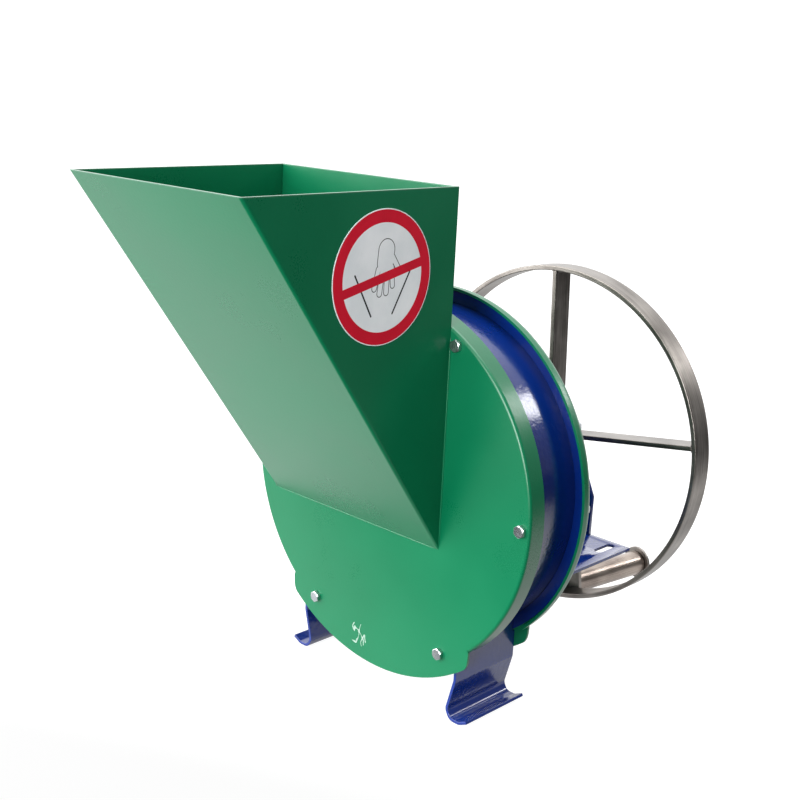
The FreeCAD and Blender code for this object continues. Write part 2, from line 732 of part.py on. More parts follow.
knife_front = D["disc_front"] - D["knife_gauge"]
screw_front = knife_front - D["small_screw_head_height"]
knife_screws = []
for step in range(4):
    turn = 90.0 * step
    name = f"knife_{step + 1}"
    blank = block(f"{name}_blank", (knife_length, D["knife_gauge"], D["knife_width"]),
                  (D["knife_inner"], knife_front, -D["knife_width"]))
    stems = [rod(f"{name}_hole_{i}", D["small_screw_radius"], D["knife_gauge"], x, knife_front, knife_middle)
             for i, x in enumerate(knife_screw_x)]
    knife = cut(name, blank, group(f"{name}_holes", stems))
    turned_place(keep(knife, name), turn)
    for i, x in enumerate(knife_screw_x):
        at_x = x * cosine(turn) - knife_middle * sine(turn)
        at_z = x * sine(turn) + knife_middle * cosine(turn)
        head = rod(f"{name}_screw_head_{i}", D["small_screw_head_radius"], D["small_screw_head_height"],
                   at_x, screw_front, at_z)
        stem = rod(f"{name}_screw_stem_{i}", D["small_screw_radius"], disc_rear - knife_front,
                   at_x, knife_front, at_z)
        knife_screws.append(combine("Part::Fuse", f"{name}_screw_{i}", head, stem))
keep(group("knife_screws", knife_screws, "Part::Compound"), "knife_screws")

hub_places = around(D["hub_screw_circle_radius"], 4)
hub = new_body("disc_hub")
for name, radius, length, holes in (
        ("flange", D["disc_hub_radius"], D["disc_hub_flange"], hub_places),
        ("boss", D["disc_hub_boss_radius"], D["disc_hub_length"], [])):
    hub_sketch = new_sketch(hub, f"disc_hub_{name}")
    draw_circle(hub_sketch, radius)
    draw_circle(hub_sketch, D["journal_radius"])
    for x, z in holes:
        draw_circle(hub_sketch, D["small_screw_radius"], x, z)
    pad(hub, hub_sketch, length)
keep(hub, "disc_hub", (ZERO, disc_rear, ZERO))
hub_screws = []
for step, (x, z) in enumerate(hub_places):
    head = rod(f"hub_screw_head_{step}", D["small_screw_head_radius"], D["small_screw_head_height"],
               x, D["disc_front"] - D["small_screw_head_height"], z)
    stem = rod(f"hub_screw_stem_{step}", D["small_screw_radius"], D["disc_gauge"] + D["disc_hub_flange"],
               x, D["disc_front"], z)
    hub_screws.append(combine("Part::Fuse", f"hub_screw_{step}", head, stem))
keep(group("disc_hub_screws", hub_screws, "Part::Compound"), "disc_hub_screws")

disc_nut_front = D["disc_front"] - D["shaft_washer_gauge"] - D["shaft_nut_height"]
for label, washer_y, nut_front in (
        ("disc", D["disc_front"] - D["shaft_washer_gauge"], disc_nut_front),
        ("wheel", wheel_hub_rear, wheel_nut_front)):
    washer(f"{label}_washer", D["shaft_washer_radius"], D["thread_radius"], D["shaft_washer_gauge"], washer_y)
    nuts(f"{label}_nut", [(ZERO, ZERO)], nut_front, D["shaft_nut_height"], D["thread_radius"],
         D["shaft_nut_flats"])

# ---- hand wheel ----

hub_rod = rod("wheel_hub_rod", D["wheel_hub_radius"], D["wheel_hub_length"], y=wheel_hub_front)
hub_bore = rod("wheel_hub_bore", D["wheel_seat_radius"], D["wheel_hub_length"], y=wheel_hub_front)
hub_spaces = group("wheel_hub_spaces", [hub_bore, key_block("hub_keyway", D["key_clearance"])])
keep(cut("wheel_hub_cut", hub_rod, hub_spaces), "wheel_hub")
washer("wheel_rim", D["wheel_radius"], rim_inner_radius, D["bar_width"], rim_front)
for step in range(4):
    name = f"wheel_spoke_{step + 1}"
    bar = block(f"{name}_bar", (rim_inner_radius, D["bar_width"], D["spoke_gauge"]),
                (ZERO, rim_front, -(D["spoke_gauge"] / 2)))
    reach = cut(f"{name}_reach", rod(f"{name}_outer", rim_inner_radius, D["bar_width"], y=rim_front),
                rod(f"{name}_inner", D["wheel_hub_radius"], D["bar_width"], y=rim_front))
    spoke = combine("Part::Common", name, bar, reach)
    across = D["wheel_cross_angle"] * (step % 2)
    turned_place(keep(spoke, name), D["wheel_phase"] + 180.0 * (step // 2) + across)

# ---- crank handle ----


def on_handle(name, radius, start, length, inner=None):
    """A rod, or a tube where inner is given, on the handle's leaning axis."""
    lean = D["handle_splay"]
    place = (handle_x + size(start) * sine(lean), lug_rear + size(start) * cosine(lean), handle_z)
    items = []
    for suffix, item_radius in (("", radius), ("_bore", inner)):
        if item_radius is None:
            continue
        item = doc.addObject("Part::Cylinder", f"{name}{suffix}")
        item.Placement.Rotation = FreeCAD.Rotation(-lean.value, 0, -90)
        items.append(put(bind(item, Radius=item_radius, Height=length), *place))
    return cut(f"{name}_tube", *items) if inner is not None else (items[0], place)


lug_cylinder = rod("lug_end", D["lug_radius"], D["lug_gauge"], D["handle_circle_radius"], D["wheel_rear"], ZERO)
lug_bar = block("lug_bar", (D["lug_length"], D["lug_gauge"], D["lug_radius"] * 2),
                (D["handle_circle_radius"] - D["lug_length"], D["wheel_rear"], -D["lug_radius"]))
lug_within = rod("lug_within_rim", D["wheel_radius"], D["lug_gauge"], y=D["wheel_rear"])
lug_blank = combine("Part::Common", "lug_trimmed", group("lug_plate", [lug_cylinder, lug_bar]), lug_within)
turned_place(lug_blank, D["handle_angle"])
lug_hole, _ = on_handle("lug_hole", spindle_radius, -D["spindle_seat"], D["lug_gauge"] * 3)
keep(cut("lug_cut", lug_blank, lug_hole), "handle_lug")
for label, radius, start, length in (
        ("handle_spindle", spindle_radius, -D["spindle_seat"], cap_start + D["spindle_seat"]),
        ("handle_cap", D["cap_radius"], cap_start, D["cap_gauge"])):
    item, place = on_handle(label, radius, start, length)
    keep(item, label, place)
keep(on_handle("grip", D["grip_radius"], grip_start, D["grip_length"],
               inner=D["grip_radius"] - D["grip_wall"]), "handle_grip")

# ---- check and write ----

doc.recompute()
failed = [item.Label for item in doc.Objects if {"Invalid", "Error"} & set(item.State)]
failed += [item.Label for item in nodes if item.Shape.isNull() or not item.Shape.isValid()]
if failed:
    raise SystemExit(f"these did not build: {failed}")
os.makedirs("parts", exist_ok=True)
for item in nodes:
    item.Shape.exportStep(os.path.join("parts", f"{item.Label}.step"))
print(f"{len(nodes)} sub-parts written")
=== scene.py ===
import math

import bmesh
import bpy
import numpy as np
from mathutils import Matrix, Vector


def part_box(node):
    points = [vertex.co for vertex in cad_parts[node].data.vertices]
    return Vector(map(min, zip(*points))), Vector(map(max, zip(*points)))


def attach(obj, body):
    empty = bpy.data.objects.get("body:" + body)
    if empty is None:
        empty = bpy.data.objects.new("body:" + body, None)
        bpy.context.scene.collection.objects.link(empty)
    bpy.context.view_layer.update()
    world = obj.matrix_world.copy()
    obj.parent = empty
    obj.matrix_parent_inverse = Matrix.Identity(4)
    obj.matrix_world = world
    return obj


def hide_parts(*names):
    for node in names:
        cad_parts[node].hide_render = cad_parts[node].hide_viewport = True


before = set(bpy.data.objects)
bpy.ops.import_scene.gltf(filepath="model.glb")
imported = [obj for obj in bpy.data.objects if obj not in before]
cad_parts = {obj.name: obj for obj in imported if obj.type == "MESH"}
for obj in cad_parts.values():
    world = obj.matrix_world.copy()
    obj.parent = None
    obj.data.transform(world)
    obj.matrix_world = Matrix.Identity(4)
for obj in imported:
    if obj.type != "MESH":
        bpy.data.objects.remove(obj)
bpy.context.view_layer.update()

# A hand-cranked fruit mill. Lengths are in millimetres from a point on the shaft's axis at the
# front cover's face, with X to the right seen from the hopper, Y back along the shaft and Z up.

MM = 0.001


def find_origin():
    """The shaft's axis where it crosses the front cover's face: the wheel rim's middle, at that face."""
    low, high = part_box("wheel_rim")
    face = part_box("front_cover")[0]
    return np.array([(low.x + high.x) / 2, face.y, (low.z + high.z) / 2])


ORIGIN = find_origin()


def reach(node):
    """A CAD node's lowest and highest corners, in millimetres from the origin."""
    return [(np.array(corner) - ORIGIN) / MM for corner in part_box(node)]


def side_radius(node):
    """Half the width of a CAD node that is round about the shaft."""
    return reach(node)[1][0]


# Sizes of the part that a node's box doesn't give.
SHEET = 2.5                     # covers and hopper
STRIP = 3.0                     # drum, flanges and feet
THROAT = {"right": 62.0, "left": 100.0, "top": 95.0, "bottom": 32.0}
APRON_HALF_ANGLE = 38.5         # from straight down
APRON_RADIUS = 186.5
APRON_CORNER = 4.5
RIM_HALF_ANGLE = 42.0
SCREW_CIRCLE = 165.5
HOUSING_SCREW_CIRCLE = 38.5
SHAFT_HOLE = 16.0
HANDLE_LEAN = math.radians(7.9)
HANDLE_CIRCLE = 173.5
HANDLE_ANGLE = math.radians(-83.0)
SPOKE_ANGLES = (8.6, 92.5, 188.6, 272.5)
FRONT_FOLD = 2.8                # outside of a cover's turned corner
BACK_FOLD = 8.0
GAP_START = 270.0 - APRON_HALF_ANGLE
GAP_END = 270.0 + APRON_HALF_ANGLE

# ---- shapes as grids ----


def rounded(corners, radius, steps=5, support=0.35):
    """A path of straight runs whose inner corners turn on arcs.

    Each arc touches both runs at radius / tan(half the corner) from the corner, and its centre
    lies on their bisector. A point just before and after each arc keeps the runs flat.
    """
    corners = np.asarray(corners, float)
    path = [corners[:1]]
    for before, corner, after in zip(corners[:-2], corners[1:-1], corners[2:]):
        back = (before - corner) / np.linalg.norm(before - corner)
        onward = (after - corner) / np.linalg.norm(after - corner)
        half = math.acos(np.clip(back @ onward, -1, 1)) / 2
        touch = radius / math.tan(half)
        bisector = (back + onward) / np.linalg.norm(back + onward)
        centre = corner + bisector * radius / math.sin(half)
        first = corner + back * touch - centre
        last = corner + onward * touch - centre
        share = np.linspace(0, 1, steps + 1)[:, None]
        turn = math.pi - 2 * half
        arc = (first * np.sin((1 - share) * turn) + last * np.sin(share * turn)) / math.sin(turn)
        path += [(corner + back * (touch + support))[None], centre + arc,
                 (corner + onward * (touch + support))[None]]
    return np.concatenate(path + [corners[-1:]])


def turned(profile, angles, along=(0, 1, 0), side=(1, 0, 0), up=(0, 0, 1), at=(0, 0, 0)):
    """A profile of (radius, distance along) turned about an axis.

    A point is at + distance * along + radius * (cos(angle) * side + sin(angle) * up).
    """
    radius, distance = np.asarray(profile, float).T[:, None, :, None]
    angle = np.radians(angles)[:, None, None]
    spread = np.cos(angle) * np.array(side, float) + np.sin(angle) * np.array(up, float)
    return np.array(at, float) + distance * np.array(along, float) + radius * spread


def full_turn(count):
    return np.linspace(0, 360, count + 1)


def ring_section(inner, outer, low, high, start, *rounding):
    """A ring's closed profile. It starts on the inner wall, and its four corners are round."""
    corners = [(inner, start), (inner, low), (outer, low), (outer, high), (inner, high), (inner, start)]
    return rounded(corners, *rounding)


def hexagon_radius(angles, flats):
    """Distance from a hexagon's middle to its side: half the flats / cosine from the nearest flat."""
    return flats / 2 / np.cos(np.radians((angles + 30) % 60 - 30))


def hexagon_grid(flats, height, bore=0.0, both_ends=False):
    """A chamfered hexagon along +Y from 0 to height, on a washer face.

    Its radius is the hexagon's. Each end is cut back by a 30 degree cone, so that the corners
    lose (hexagon radius - cone radius) * tan(30) of height, which leaves scalloped flats.
    """
    angles = full_turn(72)
    side = hexagon_radius(angles, flats)
    cone = np.full_like(side, flats / 2 * 0.94)
    bevel = (side - cone) * math.tan(math.radians(30))
    inner = np.full_like(side, bore)
    low = np.zeros_like(side)
    high = np.full_like(side, height)
    rows = [(inner, high), (inner + 0.4 if bore else cone * 0.5, high), (cone, high), (side, high - bevel)]
    if both_ends:
        rows += [(side, low + bevel), (cone, low)]
    else:
        rows += [(side, low + 0.45), (cone, low + 0.45), (cone, low)]
    rows += [(inner, low)] + ([(inner, high)] if bore else [])
    angle = np.radians(angles)
    return np.stack([np.stack([r * np.cos(angle), y, r * np.sin(angle)], axis=1) for r, y in rows], axis=1)


def facing_front(grid):
    """The same shape with its far end towards the hopper: Y and X change sign, which turns it about Z."""
    return grid * np.array([-1, -1, 1])


def box_grid(low, high):
    """A closed box as a square profile carried along X, whose end rows shrink to their middles."""
    low, high = np.array(low, float), np.array(high, float)
    middle, half = (low + high) / 2, (high - low) / 2
    square = np.array([(-1, -1), (1, -1), (1, 1), (-1, 1), (-1, -1)])
    stations = np.array([-1.0, -1.0, 1.0, 1.0])
    size = np.array([0.0, 1.0, 1.0, 0.0])
    grid = np.empty((4, 5, 3))
    grid[..., 0] = middle[0] + stations[:, None] * half[0]
    grid[..., 1:] = middle[1:] + size[:, None, None] * square[None] * half[1:]
    return grid


def bead_grid(start, end, radius, pitch=2.4):
    """A run of weld: a round section carried along a line.

    Its radius rises and falls by an eighth at each ripple, |sin(pi * distance / pitch)|, and
    closes at both ends as the square root of 1 - (share of the run from its middle) ** 12.
    """
    start, end = np.array(start, float), np.array(end, float)
    length = np.linalg.norm(end - start)
    along = (end - start) / length
    across = np.cross(along, [0.31, 0.22, 0.92])
    across /= np.linalg.norm(across)
    other = np.cross(along, across)
    share = np.sin(np.linspace(-math.pi / 2, math.pi / 2, max(12, int(length / 0.5))))
    ripple = 0.88 + 0.12 * np.abs(np.sin(math.pi * (share + 1) / 2 * length / pitch))
    size = radius * ripple * np.sqrt(np.clip(1 - np.abs(share) ** 12, 0, 1))
    angle = np.linspace(0, 2 * math.pi, 11)
    ring = np.cos(angle)[:, None] * across + np.sin(angle)[:, None] * other
    middle = (start + end) / 2 + share[:, None] * along * length / 2
    return middle[:, None] + size[:, None, None] * ring[None]


def about_shaft(grid, degrees):
    """A shape turned about the shaft, from +X towards +Z."""
    cos, sin = math.cos(math.radians(degrees)), math.sin(math.radians(degrees))
    x, y, z = np.moveaxis(grid, -1, 0)
    return np.stack([x * cos - z * sin, y, x * sin + z * cos], axis=-1)


def places_on_circle(radius, count, start=0.0):
    angle = np.radians(start + 360.0 * np.arange(count) / count)
    return np.stack([radius * np.cos(angle), np.zeros(count), radius * np.sin(angle)], axis=1)


def copies(grid, places):
    return [grid + place for place in places]


# ---- grids made into pieces ----


def grid_faces(shape, keep=None):
    """Corner numbers of each cell of a grid, for the cells that keep marks."""
    number = np.arange(shape[0] * shape[1]).reshape(shape[:2])
    cells = np.stack([number[:-1, :-1], number[:-1, 1:], number[1:, 1:], number[1:, :-1]], axis=-1)
    return cells[keep] if keep is not None else cells.reshape(-1, 4)


def enclosed(points, faces):
    """Six times the volume inside the faces, which is negative where they point inwards."""
    a, b, c, d = (points[faces[:, i]] for i in range(4))
    return np.sum(np.cross(a, b) * c) + np.sum(np.cross(a, c) * d)


def surface_lengths(grid):
    """A grid's own map in metres: distance along its rows and along its columns."""
    rows = np.linalg.norm(np.diff(grid, axis=0), axis=-1).max(axis=1)
    columns = np.linalg.norm(np.diff(grid, axis=1), axis=-1).max(axis=0)
    down = np.concatenate([[0], np.cumsum(rows)]) * MM
    across = np.concatenate([[0], np.cumsum(columns)]) * MM
    return np.stack(np.meshgrid(down, across, indexing="ij"), axis=-1)


def make_mesh(name, grids, keep=None, sheet=False, flip=False):
    """One mesh of several grids: seams and poles that meet are merged, faces point outwards."""
    points, faces, maps = [], [], []
    count = 0
    for grid in grids:
        cells = grid_faces(grid.shape, keep)
        flat = grid.reshape(-1, 3)
        if flip if sheet else enclosed(flat - flat.mean(axis=0), cells) < 0:
            cells = cells[:, ::-1]
        points.append(flat)
        maps.append(surface_lengths(grid).reshape(-1, 2))
        faces.append(cells + count)
        count += len(flat)
    points = np.concatenate(points) * MM + ORIGIN
    faces = np.concatenate(faces)
    mesh = bpy.data.meshes.new(name)
    mesh.from_pydata(points.tolist(), [], faces.tolist())
    layer = mesh.uv_layers.new(name="surface")
    layer.data.foreach_set("uv", np.concatenate(maps)[faces.ravel()].astype(np.float32).ravel())
    merge(mesh, 0.00002)
    return mesh


def merge(mesh, distance, flatten=False):
    work = bmesh.new()
    work.from_mesh(mesh)
    bmesh.ops.remove_doubles(work, verts=work.verts, dist=distance)
    bmesh.ops.dissolve_degenerate(work, edges=work.edges, dist=distance)
    if flatten:
        bmesh.ops.dissolve_limit(work, angle_limit=math.radians(1), verts=work.verts, edges=work.edges)
    work.to_mesh(mesh)
    work.free()


def finish_piece(name, mesh, body, material, stands_for=(), wall=0.0, edge=0.0, crease=32):
    """A mesh becomes a piece: a wall's thickness, rounded edges, its body, slot and material."""
    item = bpy.data.objects.new(name, mesh)
    bpy.context.scene.collection.objects.link(item)
    mesh.materials.append(material)
    mesh.shade_smooth()
    if not edge:
        mesh.set_sharp_from_angle(angle=math.radians(crease))
    if wall:
        solid = item.modifiers.new("wall", "SOLIDIFY")
        solid.thickness = wall * MM
        solid.offset = -1
        solid.use_even_offset = True
    if edge:
        bevel = item.modifiers.new("edges", "BEVEL")
        bevel.width = edge * MM
        bevel.segments = 2
        bevel.limit_method = "ANGLE"
        bevel.angle_limit = math.radians(crease)
        bevel.harden_normals = True
    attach(item, body)
    if stands_for:
        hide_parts(*stands_for)
    return item


def make_piece(name, grids, body, material, stands_for=(), keep=None, sheet=False, flip=False, **finish):
    mesh = make_mesh(name, grids, keep, sheet, flip)
    return finish_piece(name, mesh, body, material, stands_for, **finish)


def softened_copy(name, node, body, material, edge):
    """A piece with a CAD node's own outline and holes, and rounded edges."""
    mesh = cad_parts[node].data.copy()
    mesh.name = name
    mesh.materials.clear()
    merge(mesh, 0.000005, flatten=True)
    return finish_piece(name, mesh, body, material, [node], edge=edge)


# ---- colours and shared effects ----


def shade(red, green, blue):
    """A colour from display values of 0 to 255, as the shader's linear values."""
    values = np.array([red, green, blue]) / 255
    linear = np.where(values > 0.04045, ((values + 0.055) / 1.055) ** 2.4, values / 12.92)
    return (*[float(v) for v in linear], 1.0)


def set_inputs(tree, sockets, inputs):
    """Each input takes its value, or a link from the socket given for it."""
    for name, value in inputs.items():
        if isinstance(value, bpy.types.NodeSocket):
            tree.links.new(value, sockets[name])
        else:
            sockets[name].default_value = value


def add_node(tree, kind, inputs=None, **settings):
    """A shader node with its settings and inputs."""
    made = tree.nodes.new(kind)
    for name, value in settings.items():
        setattr(made, name, value)
    set_inputs(tree, made.inputs, inputs or {})
    return made


def place_group(tree, group, inputs):
    return add_node(tree, "ShaderNodeGroup", inputs, node_tree=group).outputs


def calculate(tree, operation, first, second=0.0, third=0.0, clamp=False):
    inputs = {0: first, 1: second, 2: third}
    return add_node(tree, "ShaderNodeMath", inputs, operation=operation, use_clamp=clamp).outputs[0]


def ramp(tree, value, low, high):
    """0 below low, 1 above high, and smooth between them."""
    inputs = {"Value": value, "From Min": low, "From Max": high}
    return add_node(tree, "ShaderNodeMapRange", inputs, interpolation_type="SMOOTHSTEP").outputs[0]


def mix(tree, share, first, second):
    return add_node(tree, "ShaderNodeMix", {0: share, 6: first, 7: second}, data_type="RGBA").outputs[2]


def noise(tree, vector, scale, detail=2.0, roughness=0.5):
    inputs = {"Vector": vector, "Scale": scale, "Detail": detail, "Roughness": roughness}
    return add_node(tree, "ShaderNodeTexNoise", inputs).outputs["Fac"]


def new_group(name, inputs, outputs):
    """An empty node group, whose inputs and outputs are given as "name kind"."""
    group = bpy.data.node_groups.new(name, "ShaderNodeTree")
    for way, sockets in (("INPUT", inputs), ("OUTPUT", outputs)):
        for socket in sockets:
            label, kind = socket.split()
            group.interface.new_socket(label, in_out=way, socket_type=f"NodeSocket{kind}")
    start = group.nodes.new("NodeGroupInput").outputs
    end = group.nodes.new("NodeGroupOutput").inputs
    return group, start, end


def make_orange_peel():
    """Sprayed enamel's fine, soft ripple, with a slow wave of the sheet under it, as a normal."""
    group, given, out = new_group(
        "orange_peel", ["Vector Vector", "Grain Float", "Depth Float", "Wave Float"], ["Normal Vector"])
    fine = noise(group, given["Vector"], given["Grain"], 1.5, 0.45)
    slow = noise(group, given["Vector"], 9.0, 1.0)
    fine_bump = add_node(group, "ShaderNodeBump", {
        "Height": fine, "Strength": given["Depth"], "Distance": 0.0006})
    slow_bump = add_node(group, "ShaderNodeBump", {
        "Height": slow, "Strength": given["Wave"], "Distance": 0.006, "Normal": fine_bump.outputs[0]})
    group.links.new(slow_bump.outputs[0], out["Normal"])
    return group


def make_mottle():
    """A colour that drifts between two shades in soft patches and fine specks."""
    group, given, out = new_group(
        "mottle", ["Vector Vector", "Light Color", "Dark Color", "Patches Float", "Specks Float"],
        ["Color Color", "Value Float"])
    patches = ramp(group, noise(group, given["Vector"], given["Patches"], 3.0), 0.3, 0.7)
    specks = noise(group, given["Vector"], given["Specks"], 2.0)
    value = calculate(group, "MULTIPLY_ADD", specks, 0.3, calculate(group, "MULTIPLY", patches, 0.7))
    group.links.new(mix(group, value, given["Dark"], given["Light"]), out["Color"])
    group.links.new(value, out["Value"])
    return group


def make_scratches():
    """Thin broken lines: where a stretched, bent noise crosses its middle value, gated by a patch noise."""
    group, given, out = new_group(
        "scratches", ["Vector Vector", "Scale Float", "Width Float", "Amount Float"], ["Mask Float"])
    stretched = add_node(group, "ShaderNodeMapping", {
        "Vector": given["Vector"], "Rotation": (0.4, 0.9, 0.3), "Scale": (1.0, 0.16, 0.5)}).outputs[0]
    line = noise(group, stretched, given["Scale"], 1.0)
    distance = calculate(group, "ABSOLUTE", calculate(group, "SUBTRACT", line, 0.5))
    thin = calculate(group, "LESS_THAN", distance, given["Width"])
    patch = noise(group, given["Vector"], 55.0, 2.0)
    gate = calculate(group, "GREATER_THAN", patch, calculate(group, "SUBTRACT", 1.0, given["Amount"]))
    group.links.new(calculate(group, "MULTIPLY", thin, gate), out["Mask"])
    return group


def make_drawn_streaks():
    """Rolled steel's long streaks on the piece's own map: noise stretched along the bar."""
    group, given, out = new_group(
        "drawn_streaks", ["Vector Vector", "Scale Float", "Stretch Float"],
        ["Value Float", "Normal Vector"])
    scale = add_node(group, "ShaderNodeCombineXYZ", {"X": given["Stretch"], "Y": 1.0, "Z": 1.0}).outputs[0]
    vector = add_node(group, "ShaderNodeVectorMath", {0: given["Vector"], 1: scale},
                      operation="MULTIPLY").outputs[0]
    value = noise(group, vector, given["Scale"], 4.0, 0.6)
    bump = add_node(group, "ShaderNodeBump", {"Height": value, "Strength": 0.25, "Distance": 0.0004})
    group.links.new(value, out["Value"])
    group.links.new(bump.outputs[0], out["Normal"])
    return group


def make_rod_distance():
    """How far a point is from a line's nearest point, less a radius: below zero inside the rod."""
    group, given, out = new_group(
        "rod_distance", ["Point Vector", "Start Vector", "End Vector", "Radius Float"],
        ["Distance Float"])

    def vector(operation, first, second=None, scale=None, output=0):
        inputs = {0: first} if second is None else {0: first, 1: second}
        if scale is not None:
            inputs["Scale"] = scale
        return add_node(group, "ShaderNodeVectorMath", inputs, operation=operation).outputs[output]

    run = vector("SUBTRACT", given["End"], given["Start"])
    offset = vector("SUBTRACT", given["Point"], given["Start"])
    share = calculate(group, "DIVIDE", vector("DOT_PRODUCT", offset, run, output="Value"),
                      vector("DOT_PRODUCT", run, run, output="Value"), clamp=True)
    nearest = vector("SCALE", run, scale=share)
    length = vector("DISTANCE", offset, nearest, output="Value")
    group.links.new(calculate(group, "SUBTRACT", length, given["Radius"]), out["Distance"])
    return group


ORANGE_PEEL = make_orange_peel()
MOTTLE = make_mottle()
SCRATCHES = make_scratches()
STREAKS = make_drawn_streaks()
ROD_DISTANCE = make_rod_distance()


def mottled(tree, vector, light, dark, patches, specks):
    return place_group(tree, MOTTLE, {
        "Vector": vector, "Light": light, "Dark": dark, "Patches": patches, "Specks": specks})


def new_material(name):
    """A material, its node tree, its Principled shader's inputs and the object coordinates."""
    material = bpy.data.materials.new(name)
    material.use_nodes = True
    tree = material.node_tree
    shader = tree.nodes["Principled BSDF"].inputs
    coordinates = add_node(tree, "ShaderNodeTexCoord").outputs
    return material, tree, shader, coordinates


# ---- materials ----


WORN_PLACE = (-22.5, 0.0, -162.9)


def make_enamel(name, light, dark, roughness, coat, grain, depth, wave):
    """Sprayed enamel: mottled colour, uneven gloss, orange peel, a few hairline scratches and a painted
    highlight, paler along the hopper mouth's top edge.
    """
    material, tree, shader, coordinates = new_material(name)
    point = coordinates["Object"]
    colour = mottled(tree, point, light, dark, 7.0, 900.0)
    peel = place_group(tree, ORANGE_PEEL, {"Vector": point, "Grain": grain, "Depth": depth, "Wave": wave})
    marks = place_group(tree, SCRATCHES, {"Vector": point, "Scale": 18.0, "Width": 0.0008, "Amount": 0.2})
    pale = tuple(0.55 * a + 0.45 * b for a, b in zip(light, shade(200, 210, 205)))
    gloss = calculate(tree, "MULTIPLY_ADD", colour["Value"], 0.08, roughness - 0.04)
    scribble = place_group(tree, SCRATCHES, {"Vector": point, "Scale": 110.0, "Width": 0.02, "Amount": 0.6})
    away = add_node(tree, "ShaderNodeVectorMath", {0: point, 1: tuple(ORIGIN + np.array(WORN_PLACE) * MM)},
                    operation="DISTANCE").outputs["Value"]
    local = calculate(tree, "MULTIPLY", scribble["Mask"], calculate(tree, "LESS_THAN", away, 0.012))
    # Paler colour by height, just under the hopper mouth's top edge: a painted highlight.
    height = add_node(tree, "ShaderNodeSeparateXYZ", {0: point}).outputs["Z"]
    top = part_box("hopper_back_panel")[1].z
    top_edge_highlight = ramp(tree, height, top - 0.0012, top - 0.0004)
    # The pale colour goes fully on the scratches, which are wear, and a fifth of it on the painted top-edge
    # highlight.
    scratches_and_edge_highlight = calculate(tree, "MAXIMUM", calculate(tree, "MULTIPLY", top_edge_highlight, 0.2),
                     calculate(tree, "MAXIMUM", marks["Mask"], local))
    set_inputs(tree, shader, {
        "Base Color": mix(tree, scratches_and_edge_highlight, colour["Color"], pale), "Roughness": gloss,
        "Normal": peel["Normal"], "Coat Weight": coat, "Coat Roughness": 0.12})
    return material


def make_steel(name, light, dark, roughness, scale=420.0, stretch=0.03):
    """Rolled or drawn steel: streaks along the piece's own map, rust-free, with uneven gloss."""
    material, tree, shader, coordinates = new_material(name)
    streaks = place_group(tree, STREAKS, {
        "Vector": coordinates["UV"], "Scale": scale, "Stretch": stretch})
    patches = noise(tree, coordinates["Object"], 30.0, 3.0)
    streaked = calculate(tree, "MULTIPLY", streaks["Value"], 0.6)
    share = calculate(tree, "MULTIPLY_ADD", patches, 0.5, streaked)
    gloss = calculate(tree, "MULTIPLY_ADD", streaks["Value"], 0.25, roughness - 0.12)
    set_inputs(tree, shader, {
        "Base Color": mix(tree, ramp(tree, share, 0.3, 0.8), dark, light), "Roughness": gloss,
        "Normal": streaks["Normal"], "Metallic": 1.0})
    return material


def make_grained_metal(name, light, dark, roughness, grain, depth, metallic=1.0):
    """Zinc, castings, ground steel and weld: no direction, a fine grain and soft patches."""
    material, tree, shader, coordinates = new_material(name)
    point = coordinates["Object"]
    colour = mottled(tree, point, light, dark, 60.0, grain)
    peel = place_group(tree, ORANGE_PEEL, {"Vector": point, "Grain": grain, "Depth": depth, "Wave": 0.0})
    gloss = calculate(tree, "MULTIPLY_ADD", colour["Value"], 0.16, roughness - 0.08)
    set_inputs(tree, shader, {
        "Base Color": colour["Color"], "Roughness": gloss, "Normal": peel["Normal"],
        "Metallic": metallic})
    return material


SIGN_RING = 54.2
SIGN_RING_WIDTH = 10.2
SIGN_BAR_HALF = 3.9
SIGN_BAR_TILT = math.radians(13)
HAND = [((2.0, 12.0), (3.0, 22.0), 9.0), ((-5.5, 7.0), (-9.5, -8.0), 2.6), ((-1.0, 6.0), (-3.5, -12.5), 2.7),
        ((4.5, 6.0), (4.0, -12.0), 2.7), ((9.5, 8.0), (11.0, -7.0), 2.4), ((10.0, 16.0), (18.5, 4.0), 2.6)]
HOPPER_LINES = [((-31.0, 4.0), (-12.0, -30.0)), ((12.0, -30.0), (31.0, 4.0))]


